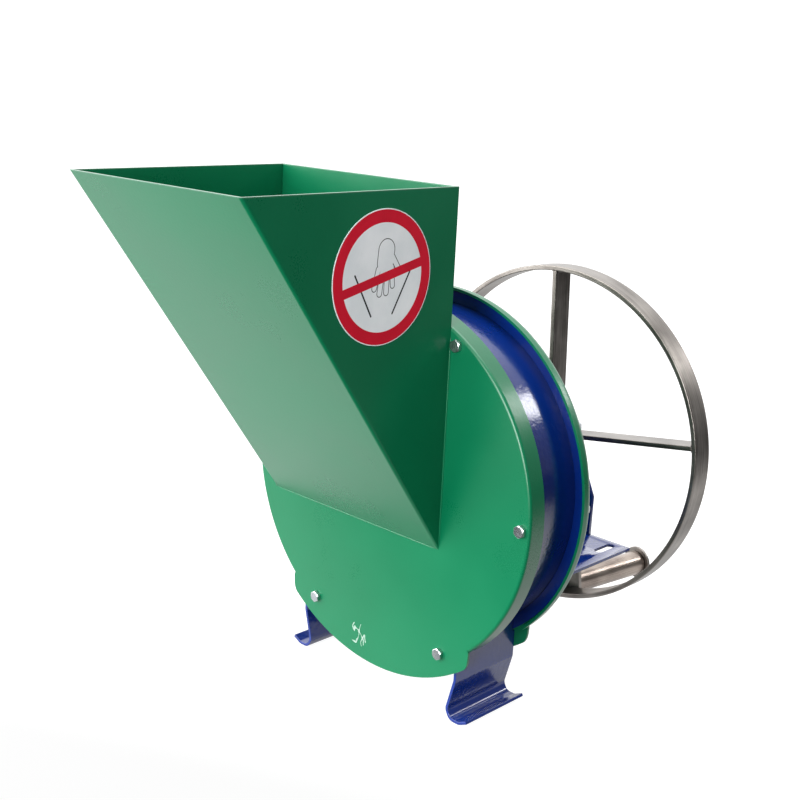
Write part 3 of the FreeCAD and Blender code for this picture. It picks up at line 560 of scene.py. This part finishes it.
def make_printed_label():
    """A round printed sign: pale disc, red ring and bar, a plain hand over a plain trough."""
    material, tree, shader, coordinates = new_material("printed_label")
    low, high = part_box("hopper_sign")
    centre = (low + high) / 2
    point = add_node(tree, "ShaderNodeVectorMath",
                     {0: coordinates["Object"], 1: tuple(centre)}, operation="SUBTRACT").outputs[0]
    flat = add_node(tree, "ShaderNodeVectorMath", {0: point, 1: (0.0, 1.0, 1.0)},
                    operation="MULTIPLY").outputs[0]

    def rod(start, end, radius):
        return place_group(tree, ROD_DISTANCE, {
            "Point": flat, "Start": (0.0, start[0] * MM, start[1] * MM),
            "End": (0.0, end[0] * MM, end[1] * MM), "Radius": radius * MM})["Distance"]

    def inside(distance, edge=0.00012):
        return calculate(tree, "SUBTRACT", 1.0, ramp(tree, distance, -edge, edge))

    hand = rod(*HAND[0])
    for start, end, radius in HAND[1:]:
        hand = calculate(tree, "MINIMUM", hand, rod(start, end, radius))
    drawn = calculate(tree, "SUBTRACT", calculate(tree, "ABSOLUTE", hand), 0.35 * MM)
    for start, end in HOPPER_LINES:
        drawn = calculate(tree, "MINIMUM", drawn, rod(start, end, 0.8))
    reach_mm = SIGN_RING - SIGN_RING_WIDTH / 2
    tip = (reach_mm * math.cos(SIGN_BAR_TILT), reach_mm * math.sin(SIGN_BAR_TILT))
    bar = rod((-tip[0], -tip[1]), tip, SIGN_BAR_HALF)
    from_middle = add_node(tree, "ShaderNodeVectorMath", {0: flat}, operation="LENGTH").outputs["Value"]
    from_ring = calculate(tree, "ABSOLUTE", calculate(tree, "SUBTRACT", from_middle, reach_mm * MM))
    ring = calculate(tree, "SUBTRACT", from_ring, SIGN_RING_WIDTH / 2 * MM)
    red = inside(calculate(tree, "MINIMUM", bar, ring))
    paper = mottled(tree, coordinates["Object"], shade(232, 234, 236), shade(214, 219, 222),
                    30.0, 900.0)["Color"]
    ink = mottled(tree, coordinates["Object"], shade(204, 8, 42), shade(190, 6, 38), 40.0, 700.0)["Color"]
    drawing = mix(tree, inside(drawn), paper, shade(30, 34, 38))
    peel = place_group(tree, ORANGE_PEEL, {
        "Vector": coordinates["Object"], "Grain": 400.0, "Depth": 0.05, "Wave": 0.05})
    set_inputs(tree, shader, {
        "Base Color": mix(tree, red, drawing, ink), "Normal": peel["Normal"], "Roughness": 0.5,
        "Specular IOR Level": 0.25})
    return material


GREEN = make_enamel("green_enamel", shade(0, 102, 66), shade(0, 94, 60), 0.3, 0.08, 420.0, 0.08, 0.06)
BLUE = make_enamel("blue_enamel", shade(4, 40, 120), shade(2, 31, 100), 0.2, 0.5, 240.0, 0.45, 0.25)
STEEL = make_steel("bare_steel", shade(150, 145, 140), shade(88, 83, 79), 0.34)
GRIP_STEEL = make_steel("grip_steel", shade(176, 164, 154), shade(108, 97, 92), 0.3, 900.0, 0.02)
ZINC = make_grained_metal("zinc_plated_steel", shade(214, 218, 220), shade(176, 182, 188), 0.28, 900.0, 0.12)
CASTING = make_grained_metal("cast_iron", shade(92, 96, 104), shade(60, 63, 70), 0.55, 500.0, 0.6, 0.85)
WELD = make_grained_metal("weld_metal", shade(128, 124, 120), shade(74, 70, 68), 0.42, 700.0, 0.35)
KNIFE = make_grained_metal("knife_steel", shade(206, 208, 210), shade(168, 170, 174), 0.22, 1200.0, 0.08)
PRINT = make_printed_label()

# ---- covers and drum ----


def throat_radius(angles):
    """How far the throat's edge is from the shaft: the nearer of its upright and its level side."""
    cos, sin = np.cos(np.radians(angles)), np.sin(np.radians(angles))
    wide = np.where(cos > 0, THROAT["right"], THROAT["left"]) / np.maximum(np.abs(cos), 1e-9)
    tall = np.where(sin > 0, THROAT["top"], THROAT["bottom"]) / np.maximum(np.abs(sin), 1e-9)
    return np.minimum(wide, tall)


def throat_corner_angles():
    """The four directions of the throat's corners, seen from the shaft."""
    x = np.array([THROAT["right"], -THROAT["left"], -THROAT["left"], THROAT["right"]])
    z = np.array([THROAT["top"], THROAT["top"], -THROAT["bottom"], -THROAT["bottom"]])
    return np.degrees(np.arctan2(z, x))


def shaft_hole_radius(angles):
    return np.full(len(angles), SHAFT_HOLE)


def cover_grid(radius, lip, inner, fold):
    """A pressed cover about the shaft: points for each angle, from the inner edge outwards.

    The face runs out to the fold and turns into the lip. Between the feet the same rows run
    straight on to the apron instead, whose sides close in from the rim's angle to its own while
    the radius grows, and whose corners are round: radius - corner * (1 - sqrt(1 - t ** 2)).
    The two stretches have their own columns where they meet, and no cells between those.
    """
    corners = throat_corner_angles()
    start, end = 270 - RIM_HALF_ANGLE, 270 + RIM_HALF_ANGLE
    lip_angles = np.unique(np.round(np.concatenate([
        np.linspace(end - 360, start, 142), corners, corners + 360]), 6))
    lip_angles = lip_angles[(lip_angles >= end - 360 - 1e-6) & (lip_angles <= start + 1e-6)]
    turned_part = rounded([(radius - 14, 0), (radius, 0), (radius, lip)], fold, 6)
    rows = np.broadcast_to(turned_part, (len(lip_angles), *turned_part.shape))
    flat = np.stack([inner(lip_angles), np.zeros(len(lip_angles))], axis=-1)[:, None]
    section = np.concatenate([flat, rows], axis=1)
    angle = np.radians(lip_angles)[:, None]
    turned_points = np.stack([section[..., 0] * np.cos(angle), section[..., 1],
                              section[..., 0] * np.sin(angle)], axis=-1)
    near = 1 - APRON_CORNER / (APRON_RADIUS * math.radians(APRON_HALF_ANGLE))
    round_end = near + (1 - near) * np.sin(np.linspace(0, math.pi / 2, 8))
    inside = (corners[(corners < 0) & (np.abs(corners + 90) < RIM_HALF_ANGLE)] + 90) / RIM_HALF_ANGLE
    share = np.concatenate([-round_end, np.linspace(-near, near, 36), inside, round_end])
    share = np.unique(np.round(share, 6))
    past = np.clip((np.abs(share) - near) / (1 - near), 0, 1)
    outer = APRON_RADIUS - APRON_CORNER * (1 - np.sqrt(1 - past ** 2))
    steps = section.shape[1]
    radii = np.empty((len(share), steps))
    radii[:, 0] = inner(270 + share * RIM_HALF_ANGLE)
    radii[:, 1:3] = turned_part[:2, 0]
    grow = np.linspace(0, 1, steps - 2)[1:]
    radii[:, 3:] = radii[:, 2:3] + grow * (outer[:, None] - radii[:, 2:3])
    closing = np.clip((radii - radius) / (APRON_RADIUS - radius), 0, 1)
    half = RIM_HALF_ANGLE + (APRON_HALF_ANGLE - RIM_HALF_ANGLE) * closing
    angle = np.radians(270 + share[:, None] * half)
    apron_points = np.stack([radii * np.cos(angle), np.zeros_like(radii), radii * np.sin(angle)], axis=-1)
    keep = np.ones((len(lip_angles) + len(share) - 1, steps - 1), bool)
    keep[len(lip_angles) - 1] = False
    return np.concatenate([turned_points, apron_points]), keep


def make_cover(node, inner, fold, faces_back):
    low, high = reach(node)
    lip = high[1] - low[1] if faces_back else high[1]
    grid, keep = cover_grid(high[0], lip, inner, fold)
    if faces_back:
        grid[..., 1] = high[1] - grid[..., 1]
    make_piece(f"{node}_pressing", [grid], "frame", GREEN, [node], wall=SHEET, edge=0.5,
               keep=keep, sheet=True, flip=faces_back)


def make_drum():
    """The drum's wall is an arc of strip between the feet, and its flanges are flat rings."""
    low, high = reach("casing_ring")
    wall = [(high[0], low[1]), (high[0], (low[1] + high[1]) / 2), (high[0], high[1])]
    grid = turned(wall, np.linspace(GAP_END - 360, GAP_START, 190))
    make_piece("drum_wall", [grid], "frame", BLUE, ["casing_ring"], wall=STRIP, edge=0.4, sheet=True)
    for node in ("front_flange", "rear_flange"):
        low, high = reach(node)
        inner = side_radius("casing_ring") + 0.01
        ring = [(inner, low[1]), (high[0], low[1]), (high[0], high[1]), (inner, high[1]), (inner, low[1])]
        make_piece(f"{node}_ring", [turned(ring, full_turn(180))], "frame", BLUE, [node], edge=0.4)


FOOT_PATH = [(-125.2, 0.0), (-165.0, 0.0), (-196.0, -8.1), (-206.0, -2.6), (-206.0, 9.4), (-201.5, 18.9)]
FOOT_TOP_BY_FLANGE = -139.0
FOOT_BEND = 9.0


def make_foot(node, side):
    """A strip carried along its bent path, notched at the top where the flanges pass.

    The path is given as height and as distance outwards from the drum's end.
    """
    low, high = reach(node)
    root = side_radius("casing_ring") * math.sin(math.radians(APRON_HALF_ANGLE))
    path = rounded([(root + out, z) for z, out in FOOT_PATH], FOOT_BEND, 7, 0.2)
    split = np.argmax(path[:, 1] < FOOT_TOP_BY_FLANGE)
    path = np.insert(path, split, (root, FOOT_TOP_BY_FLANGE), axis=0)
    depth = np.array([low[1], low[1] + STRIP, (low[1] + high[1]) / 2, high[1] - STRIP, high[1]])
    grid = np.empty((len(path), len(depth), 3))
    grid[..., 0] = side * path[:, 0, None]
    grid[..., 1] = depth
    grid[..., 2] = path[:, 1, None]
    keep = np.ones((len(path) - 1, len(depth) - 1), bool)
    keep[:split, [0, -1]] = False
    make_piece(f"{node}_strip", [grid], "frame", BLUE, [node], wall=STRIP, edge=0.5, keep=keep,
               sheet=True, flip=side < 0)


# ---- hopper ----

HOPPER_NODES = ["hopper_front_panel", "hopper_right_panel", "hopper_left_panel"]


def hopper_layer(inset, level, corner):
    """One face of the folded hopper sheet, as level sections of a U.

    At height z the front is at y = -reach * (z - foot) / (mouth - foot), moved back by level.
    The U runs along the left side, round its corner, across the front, and back on the right.
    Nothing passes behind the cover's face.
    """
    low, high = reach("hopper_front_panel")
    foot, mouth, front = low[2], high[2], low[1]
    share = np.concatenate([[0, 0.004, 0.0095, 0.0135, 0.02, 0.04], np.linspace(0.08, 1, 24)])
    heights = foot + share * (mouth - foot)
    fronts = front * share + level
    left, right = low[0] + inset, high[0] - inset
    turn = np.linspace(0, math.pi / 2, 7)
    side = np.array([0.0, 0.25, 0.5, 0.75, 0.99])
    grid = []
    for height, y in zip(heights, fronts):
        depth = max(-y, 0.0)
        bend = min(corner, depth)
        back = -side * (depth - bend)
        arc_x = left + bend * (1 - np.cos(turn))
        arc_y = -(depth - bend) - bend * np.sin(turn)
        across = np.linspace(left + bend + 0.4, right - bend - 0.4, 14)
        x = np.concatenate([np.full(5, left), arc_x, across, right - (arc_x[::-1] - left),
                            np.full(5, right)])
        y_all = np.concatenate([back, arc_y, np.full(14, -depth), arc_y[::-1], back[::-1]])
        grid.append(np.stack([x, y_all, np.full(len(x), height)], axis=1))
    return np.array(grid)


def two_faced_sheet(outer, inner):
    """Both faces of a sheet, and the strips along its four edges that join them."""
    edges = [(inner[0], outer[0]), (outer[-1], inner[-1]), (outer[:, 0], inner[:, 0]),
             (inner[:, -1], outer[:, -1])]
    return [outer, inner[:, ::-1]] + [np.stack(pair) for pair in edges]


def make_hopper():
    low, high = reach("hopper_front_panel")
    rise, run = high[2] - low[2], high[1] - low[1]
    level = SHEET * math.hypot(rise, run) / rise
    outer = hopper_layer(0.0, 0.0, 2.9)
    inner = hopper_layer(SHEET, level, 0.6)
    make_piece("hopper_sheet", two_faced_sheet(outer, inner), "frame", GREEN, HOPPER_NODES, edge=0.5,
               crease=40, sheet=True)


def make_hopper_back():
    low, high = reach("hopper_back_panel")
    make_piece("hopper_back_sheet", [box_grid(low, high)], "frame", GREEN, ["hopper_back_panel"],
               edge=0.5)


def make_hopper_welds():
    """Painted weld along each side's joint with the cover, and across the hopper's foot where it meets the
    cover.
    """
    low, high = reach("hopper_front_panel")
    top = side_radius("front_cover") - 8
    beads = []
    for x, out in ((high[0], 0.5), (low[0], -0.5)):
        above = math.sqrt(top ** 2 - x ** 2)
        beads.append(bead_grid((x + out * 0.6, -0.1, low[2] + 3), (x + out * 0.6, -0.1, above), 0.9, 3.0))
    beads.append(bead_grid((low[0] + 4, -0.1, low[2]), (high[0] - 4, -0.1, low[2]), 0.8, 3.0))
    make_piece("hopper_welds", beads, "frame", GREEN, crease=60)


def make_sign():
    """A thin printed disc: its rim is chamfered towards its outer face."""
    low, high = reach("hopper_sign")
    radius, gauge = (high[2] - low[2]) / 2, high[0] - low[0]
    at = (low[0], (low[1] + high[1]) / 2, (low[2] + high[2]) / 2)
    profile = [(0, 0), (radius, 0), (radius, gauge * 0.6), (radius - gauge * 0.4, gauge), (0, gauge)]
    grid = turned(profile, full_turn(120), along=(1, 0, 0), side=(0, 1, 0), at=at)
    make_piece("hopper_sign_print", [grid], "frame", PRINT, ["hopper_sign"])


# ---- screws and nuts ----

SMALL_SCREW, SMALL_FLATS = 3.0, 10.0
SMALL_HEAD, SMALL_NUT, FRONT_STEM, BACK_STEM = 4.0, 5.0, 12.5, 4.5
LARGE_SCREW, LARGE_FLATS, LARGE_HEAD, LARGE_NUT = 4.0, 13.0, 5.3, 6.5
THREAD_RADIUS, SHAFT_FLATS, SHAFT_NUT = 8.0, 24.0, 13.0


def stem_grid(radius, length):
    """A plain screw stem along +Y, with a chamfered end."""
    profile = [(0, 0), (radius, 0), (radius, length - 0.6), (radius - 0.6, length), (0, length)]
    return turned(profile, full_turn(36))


def make_cover_screws():
    """Hexagon screws through both covers. The one inside the hopper sits on its back panel."""
    head = hexagon_grid(SMALL_FLATS, SMALL_HEAD)
    for node, flip in (("front_cover_screws", True), ("back_cover_screws", False)):
        seats = places_on_circle(SCREW_CIRCLE, 6)
        seats[:, 1] = 0.0 if flip else reach("back_cover")[1][1]
        heads = seats.copy()
        if flip:
            heads[2, 1] -= SHEET
        stem = stem_grid(SMALL_SCREW, FRONT_STEM if flip else BACK_STEM)
        stem = stem if flip else facing_front(stem)
        grids = copies(facing_front(head) if flip else head, heads) + copies(stem, seats)
        make_piece(f"{node}_zinc", grids, "frame", ZINC, [node], crease=20)


def make_nuts(node, body, places, flats, height, bore):
    low = reach(node)[0]
    places = places.copy()
    places[:, 1] = low[1]
    grids = copies(hexagon_grid(flats, height, bore, both_ends=True), places)
    make_piece(f"{node}_zinc", grids, body, ZINC, [node], crease=20)


def make_housing_screws():
    places = places_on_circle(HOUSING_SCREW_CIRCLE, 4, 45)
    for node, flip in (("front_housing_screws", False), ("rear_housing_screws", True)):
        low, high = reach(node)
        head = hexagon_grid(LARGE_FLATS, LARGE_HEAD)
        stem = stem_grid(LARGE_SCREW, high[1] - low[1] - LARGE_HEAD)
        seats = places.copy()
        seats[:, 1] = low[1] + LARGE_HEAD if flip else high[1] - LARGE_HEAD
        grids = copies(facing_front(head) if flip else head, seats)
        grids += copies(stem if flip else facing_front(stem), seats)
        make_piece(f"{node}_zinc", grids, "frame", ZINC, [node], crease=20)
    for node in ("front_housing_nuts", "rear_housing_nuts"):
        make_nuts(node, "frame", places, LARGE_FLATS, LARGE_NUT, LARGE_SCREW)
    make_nuts("front_cover_nuts", "frame", places_on_circle(SCREW_CIRCLE, 6),
              SMALL_FLATS, SMALL_NUT, SMALL_SCREW)


# ---- rear bracket and bearings ----


def make_bracket():
    softened_copy("rear_shelf_plate", "rear_shelf", "frame", BLUE, 0.5)
    softened_copy("rear_upright_plate", "rear_upright", "frame", BLUE, 0.5)
    low, high = reach("rear_shelf")
    foot_low, foot_high = reach("rear_upright")
    beads = [bead_grid((near[0] + 3, y, high[2] + 0.3), (far[0] - 3, y, high[2] + 0.3), radius, 3.2)
             for near, far, y, radius in ((foot_low, foot_high, foot_low[1] - 0.3, 2.0),
                                          (low, high, low[1] + 0.3, 1.8))]
    make_piece("bracket_welds", beads, "frame", BLUE, crease=60)


def make_housings():
    """Bearing housings: a flange and a boss turned in one, with a cast fillet between them."""
    for node, flip in (("front_bearing_housing", False), ("rear_bearing_housing", True)):
        low, high = reach(node)
        depth, flange = high[1] - low[1], high[0]
        bore = side_radius("front_bearing_outer_race")
        boss_foot, boss_top, step = 30.4, 30, 8
        section = rounded([(bore, 0), (flange, 0), (flange, step), (boss_foot, step), (boss_top, depth),
                           (bore, depth), (bore, 0)], 1.0, 4)
        grid = turned(section, full_turn(120))
        grid[..., 1] = high[1] - grid[..., 1] if flip else low[1] + grid[..., 1]
        make_piece(f"{node}_casting", [grid], "frame", CASTING, [node], crease=50)


# ---- shaft and wheel ----

THREAD_PITCH = 2.0
BAR = 5.0                       # thickness of the rim and spokes
SPOKE_WELD = 3.1                # a bead's middle from the spoke's
SEAT, COLLAR, WHEEL_SEAT = 10, 14, 9
COLLAR_LENGTH = 5
THREAD_DEPTH = 0.9
SHAFT_CHAMFER = 1.2
WASHER_BORE = 8.2


def make_shaft():
    """A stepped shaft. At its two threaded ends a ridge in the radius climbs one pitch a turn."""
    low, high = reach("shaft")
    collar = reach("disc_hub")[1][1]
    hub_low, hub_high = reach("wheel_hub")
    disc = reach("cutting_disc")[0][1]
    steps = np.array([(SEAT, disc), (SEAT, collar), (COLLAR, collar), (COLLAR, collar + COLLAR_LENGTH),
                      (SEAT, collar + COLLAR_LENGTH), (SEAT, hub_low[1]), (WHEEL_SEAT, hub_low[1]),
                      (WHEEL_SEAT, hub_high[1])])
    fine_start = np.linspace(low[1], disc, 60)
    fine_end = np.linspace(hub_high[1], high[1], 70)
    y = np.concatenate([[low[1]], fine_start, steps[:, 1], fine_end, [high[1]]])
    radius = np.concatenate([[0], np.full(60, THREAD_RADIUS), steps[:, 0], np.full(70, THREAD_RADIUS), [0]])
    angle = np.linspace(0, 2 * math.pi, 49)[:, None]
    ridge = np.abs((y / THREAD_PITCH - angle / (2 * math.pi)) % 1 - 0.5) * 2
    threaded = radius == THREAD_RADIUS
    chamfer = np.clip(1 - np.minimum(y - low[1], high[1] - y) / SHAFT_CHAMFER, 0, 1)
    radii = radius - threaded * (THREAD_DEPTH * ridge * (1 - chamfer) + SHAFT_CHAMFER * chamfer)
    y = np.broadcast_to(y, radii.shape)
    grid = np.stack([radii * np.cos(angle), y, radii * np.sin(angle)], axis=-1)
    make_piece("shaft_turned", [grid], "rotor", STEEL, ["shaft"], crease=40)


def make_wheel():
    low, high = reach("wheel_rim")
    outer = high[0]
    ring = ring_section(outer - BAR, outer, low[1], high[1], high[1] - 4, 0.8, 3)
    make_piece("wheel_rim_bar", [turned(ring, full_turn(216))], "rotor", STEEL, ["wheel_rim"], crease=50)
    hub_radius = side_radius("wheel_hub")
    bar = box_grid((hub_radius - 0.6, low[1], -BAR / 2), (outer - BAR + 0.02, high[1], BAR / 2))
    for step, degrees in enumerate(SPOKE_ANGLES, start=1):
        node = f"wheel_spoke_{step}"
        make_piece(f"{node}_bar", [about_shaft(bar, degrees)], "rotor", STEEL, [node], edge=0.7)


def make_wheel_welds():
    """Beads along both sides of each spoke, where it meets the rim and where it meets the hub."""
    low, high = reach("wheel_rim")
    outer = high[0] - BAR
    hub = side_radius("wheel_hub")
    beads = []
    for degrees in SPOKE_ANGLES:
        for radius in (outer - 0.4, hub + 0.2):
            for z in (-SPOKE_WELD, SPOKE_WELD):
                run = bead_grid((radius, low[1] + 1.2, z), (radius, high[1] - 1.2, z), 1.7, 3.0)
                beads.append(about_shaft(run, degrees))
    make_piece("wheel_welds", beads, "rotor", WELD, crease=60)


def make_hub():
    low, high = reach("wheel_hub")
    section = ring_section(WHEEL_SEAT, high[0], low[1], high[1], low[1] + 3, 1.0, 2)
    make_piece("wheel_hub_turned", [turned(section, full_turn(96))], "rotor", STEEL, ["wheel_hub"],
               crease=50)
    low, high = reach("wheel_washer")
    section = ring_section(WASHER_BORE, high[0], low[1], high[1], low[1] + 1, 0.4, 2, 0.1)
    make_piece("wheel_washer_zinc", [turned(section, full_turn(72))], "rotor", ZINC, ["wheel_washer"],
               crease=50)
    for node in ("wheel_nut", "disc_nut"):
        make_nuts(node, "rotor", np.zeros((1, 3)), SHAFT_FLATS, SHAFT_NUT, THREAD_RADIUS)


# ---- crank handle ----

GRIP, GRIP_WALL, GRIP_LENGTH, GRIP_GAP = 13.45, 2.6, 109.5, 0.5
CAP, CAP_THICKNESS = 18.5, 3


def turned_leaning(profile, count):
    """A profile turned about the handle's axis, which leaves the lug's rear face and leans right."""
    foot = (HANDLE_CIRCLE * math.cos(HANDLE_ANGLE), reach("handle_lug")[1][1],
            HANDLE_CIRCLE * math.sin(HANDLE_ANGLE))
    along = (math.sin(HANDLE_LEAN), math.cos(HANDLE_LEAN), 0)
    side = (math.cos(HANDLE_LEAN), -math.sin(HANDLE_LEAN), 0)
    return turned(profile, full_turn(count), along, side, at=foot)


def make_handle():
    """Turned pieces on the leaning axis: spindle, tubular grip and end cap, and the flat lug."""
    softened_copy("handle_lug_plate", "handle_lug", "rotor", STEEL, 0.6)
    start = GRIP * math.sin(HANDLE_LEAN) + GRIP_GAP
    end = start + GRIP_LENGTH
    bore = GRIP - GRIP_WALL
    pin = bore - 0.1
    cap_start = end + GRIP_GAP
    tube = ring_section(bore, GRIP, start, end, start + 5, 0.9, 3, 0.3)
    make_piece("handle_grip_tube", [turned_leaning(tube, 96).swapaxes(0, 1)], "grip", GRIP_STEEL,
               ["handle_grip"], crease=50)
    rod = [(0, -3), (pin, -3), (pin, cap_start), (0, cap_start)]
    make_piece("handle_spindle_pin", [turned_leaning(rod, 72)], "rotor", STEEL, ["handle_spindle"],
               crease=50)
    cap_end = cap_start + CAP_THICKNESS
    cap = rounded([(0, cap_start), (CAP, cap_start), (CAP, cap_end), (0, cap_end)], 0.8, 3, 0.2)
    make_piece("handle_cap_disc", [turned_leaning(cap, 96)], "rotor", STEEL, ["handle_cap"], crease=50)


# ---- CAD nodes that stay ----

KEPT = [
    (KNIFE, ["knife_1", "knife_2", "knife_3", "knife_4"]),
    (STEEL, ["cutting_disc", "hub_key", "front_bearing_outer_race", "front_bearing_inner_race",
             "rear_bearing_outer_race", "rear_bearing_inner_race"]),
    (CASTING, ["disc_hub"]),
    (ZINC, ["knife_screws", "disc_hub_screws", "disc_washer", "front_bearing_balls", "rear_bearing_balls"]),
]


def finish_kept_nodes():
    for material, names in KEPT:
        for name in names:
            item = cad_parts[name]
            if not item.material_slots:
                item.data.materials.append(material)
            for slot in item.material_slots:
                slot.material = material


# ---- studio ----


FLOOR_SEEN = 0.92
FLOOR_REFLECTED = 0.55
FLOOR_FADE_FRONT = (0.06, 0.32)
FLOOR_FADE_RIGHT = (0.35, 0.9)


def make_floor():
    """A wide, pale floor: white where it is seen, dimmer in reflections towards the front and right."""
    material, tree, shader, coordinates = new_material("studio_floor")
    colour = mottled(tree, coordinates["Object"], shade(140, 140, 140), shade(136, 136, 136),
                     2.0, 50.0)["Color"]
    across = add_node(tree, "ShaderNodeSeparateXYZ", {0: coordinates["Object"]}).outputs
    forward = calculate(tree, "SUBTRACT", calculate(tree, "MULTIPLY", across["X"], 0.5), across["Y"])
    dim = calculate(tree, "MAXIMUM", ramp(tree, forward, *FLOOR_FADE_FRONT),
                    ramp(tree, across["X"], *FLOOR_FADE_RIGHT))
    bright = calculate(tree, "SUBTRACT", 1.0, dim)
    rays = add_node(tree, "ShaderNodeLightPath").outputs
    seen = calculate(tree, "MULTIPLY", rays["Is Camera Ray"], FLOOR_SEEN)
    reflected = calculate(tree, "MULTIPLY", rays["Is Glossy Ray"], FLOOR_REFLECTED)
    reflected = calculate(tree, "MULTIPLY", reflected, bright)
    glow = calculate(tree, "ADD", seen, reflected)
    set_inputs(tree, shader, {
        "Base Color": mix(tree, bright, shade(40, 40, 40), colour), "Roughness": 0.9,
        "Specular IOR Level": 0.1, "Emission Color": (1, 1, 1, 1), "Emission Strength": glow})
    corners = np.array([(-1, -1, 0), (1, -1, 0), (1, 1, 0), (-1, 1, 0)]) * 12.0
    mesh = bpy.data.meshes.new("floor")
    mesh.from_pydata(corners.tolist(), [], [(0, 1, 2, 3)])
    mesh.materials.append(material)
    floor = bpy.data.objects.new("floor", mesh)
    bpy.context.scene.collection.objects.link(floor)


WORLD_FADE = (-0.1, 0.7)
WORLD_LEFT = 1.7
WORLD_RIGHT = 0.2


def make_world():
    """A white studio: seen directly it is white, and its light fades towards the right."""
    world = bpy.data.worlds.new("studio")
    bpy.context.scene.world = world
    world.use_nodes = True
    tree = world.node_tree
    seen = add_node(tree, "ShaderNodeLightPath").outputs["Is Camera Ray"]
    direction = add_node(tree, "ShaderNodeTexCoord").outputs["Generated"]
    across = add_node(tree, "ShaderNodeSeparateXYZ", {0: direction}).outputs["X"]
    fading = ramp(tree, across, *WORLD_FADE)
    around = calculate(tree, "MULTIPLY_ADD", fading, WORLD_RIGHT - WORLD_LEFT, WORLD_LEFT)
    strength = calculate(tree, "MAXIMUM", calculate(tree, "MULTIPLY", seen, 1.05), around)
    set_inputs(tree, tree.nodes["Background"].inputs, {"Color": (1, 1, 1, 1), "Strength": strength})


LIT_POINT = Vector((0.0, 0.0, 0.25))


def add_light(name, place, size, power):
    lamp = bpy.data.lights.new(name, "AREA")
    lamp.shape = "RECTANGLE"
    lamp.size, lamp.size_y = size
    lamp.energy = power
    item = bpy.data.objects.new(name, lamp)
    item.location = place
    item.rotation_euler = (LIT_POINT - Vector(place)).to_track_quat("-Z", "Y").to_euler()
    bpy.context.scene.collection.objects.link(item)


def make_lights():
    add_light("key", (-0.9, -1.9, 1.3), (1.6, 1.6), 34)
    add_light("low", (-1.3, -1.5, 0.35), (2.0, 1.4), 40)
    add_light("front", (0.6, -2.25, 0.7), (1.2, 1.2), 66)
    add_light("top", (0.1, 0.2, 2.2), (1.6, 1.6), 34)
    add_light("window", (1.2, 1.9, 1.5), (0.35, 0.5), 9)


CAMERA_PLACE = ORIGIN + np.array((762.76, -781.78, 370.08)) * MM
CAMERA_YAW, CAMERA_PITCH, CAMERA_ROLL = (math.radians(turn) for turn in (43.579, 14.968, 2.727))
CAMERA_LENS = 56.0


def make_camera():
    """A level camera turned left by the yaw, tipped down by the pitch and rolled about its view."""
    yaw, pitch, roll = CAMERA_YAW, CAMERA_PITCH, CAMERA_ROLL
    ahead = Vector((-math.sin(yaw) * math.cos(pitch), math.cos(yaw) * math.cos(pitch), -math.sin(pitch)))
    level = Vector((math.cos(yaw), math.sin(yaw), 0))
    upward = level.cross(ahead)
    right = level * math.cos(roll) + upward * math.sin(roll)
    top = upward * math.cos(roll) - level * math.sin(roll)
    camera = bpy.data.cameras.new("camera")
    camera.lens = CAMERA_LENS
    camera.sensor_width = 36.0
    camera.clip_start = 0.05
    item = bpy.data.objects.new("camera", camera)
    item.matrix_world = Matrix.Translation(CAMERA_PLACE) @ Matrix((right, top, -ahead)).transposed().to_4x4()
    bpy.context.scene.collection.objects.link(item)
    bpy.context.scene.camera = item


make_cover("front_cover", throat_radius, FRONT_FOLD, False)
make_cover("back_cover", shaft_hole_radius, BACK_FOLD, True)
make_drum()
make_foot("foot_right", 1)
make_foot("foot_left", -1)
make_hopper()
make_hopper_back()
make_hopper_welds()
make_sign()
make_cover_screws()
make_housing_screws()
make_bracket()
make_housings()
make_shaft()
make_wheel()
make_wheel_welds()
make_hub()
make_handle()
finish_kept_nodes()
make_floor()
make_world()
make_lights()
make_camera()
bpy.context.scene.view_settings.view_transform = "Standard"
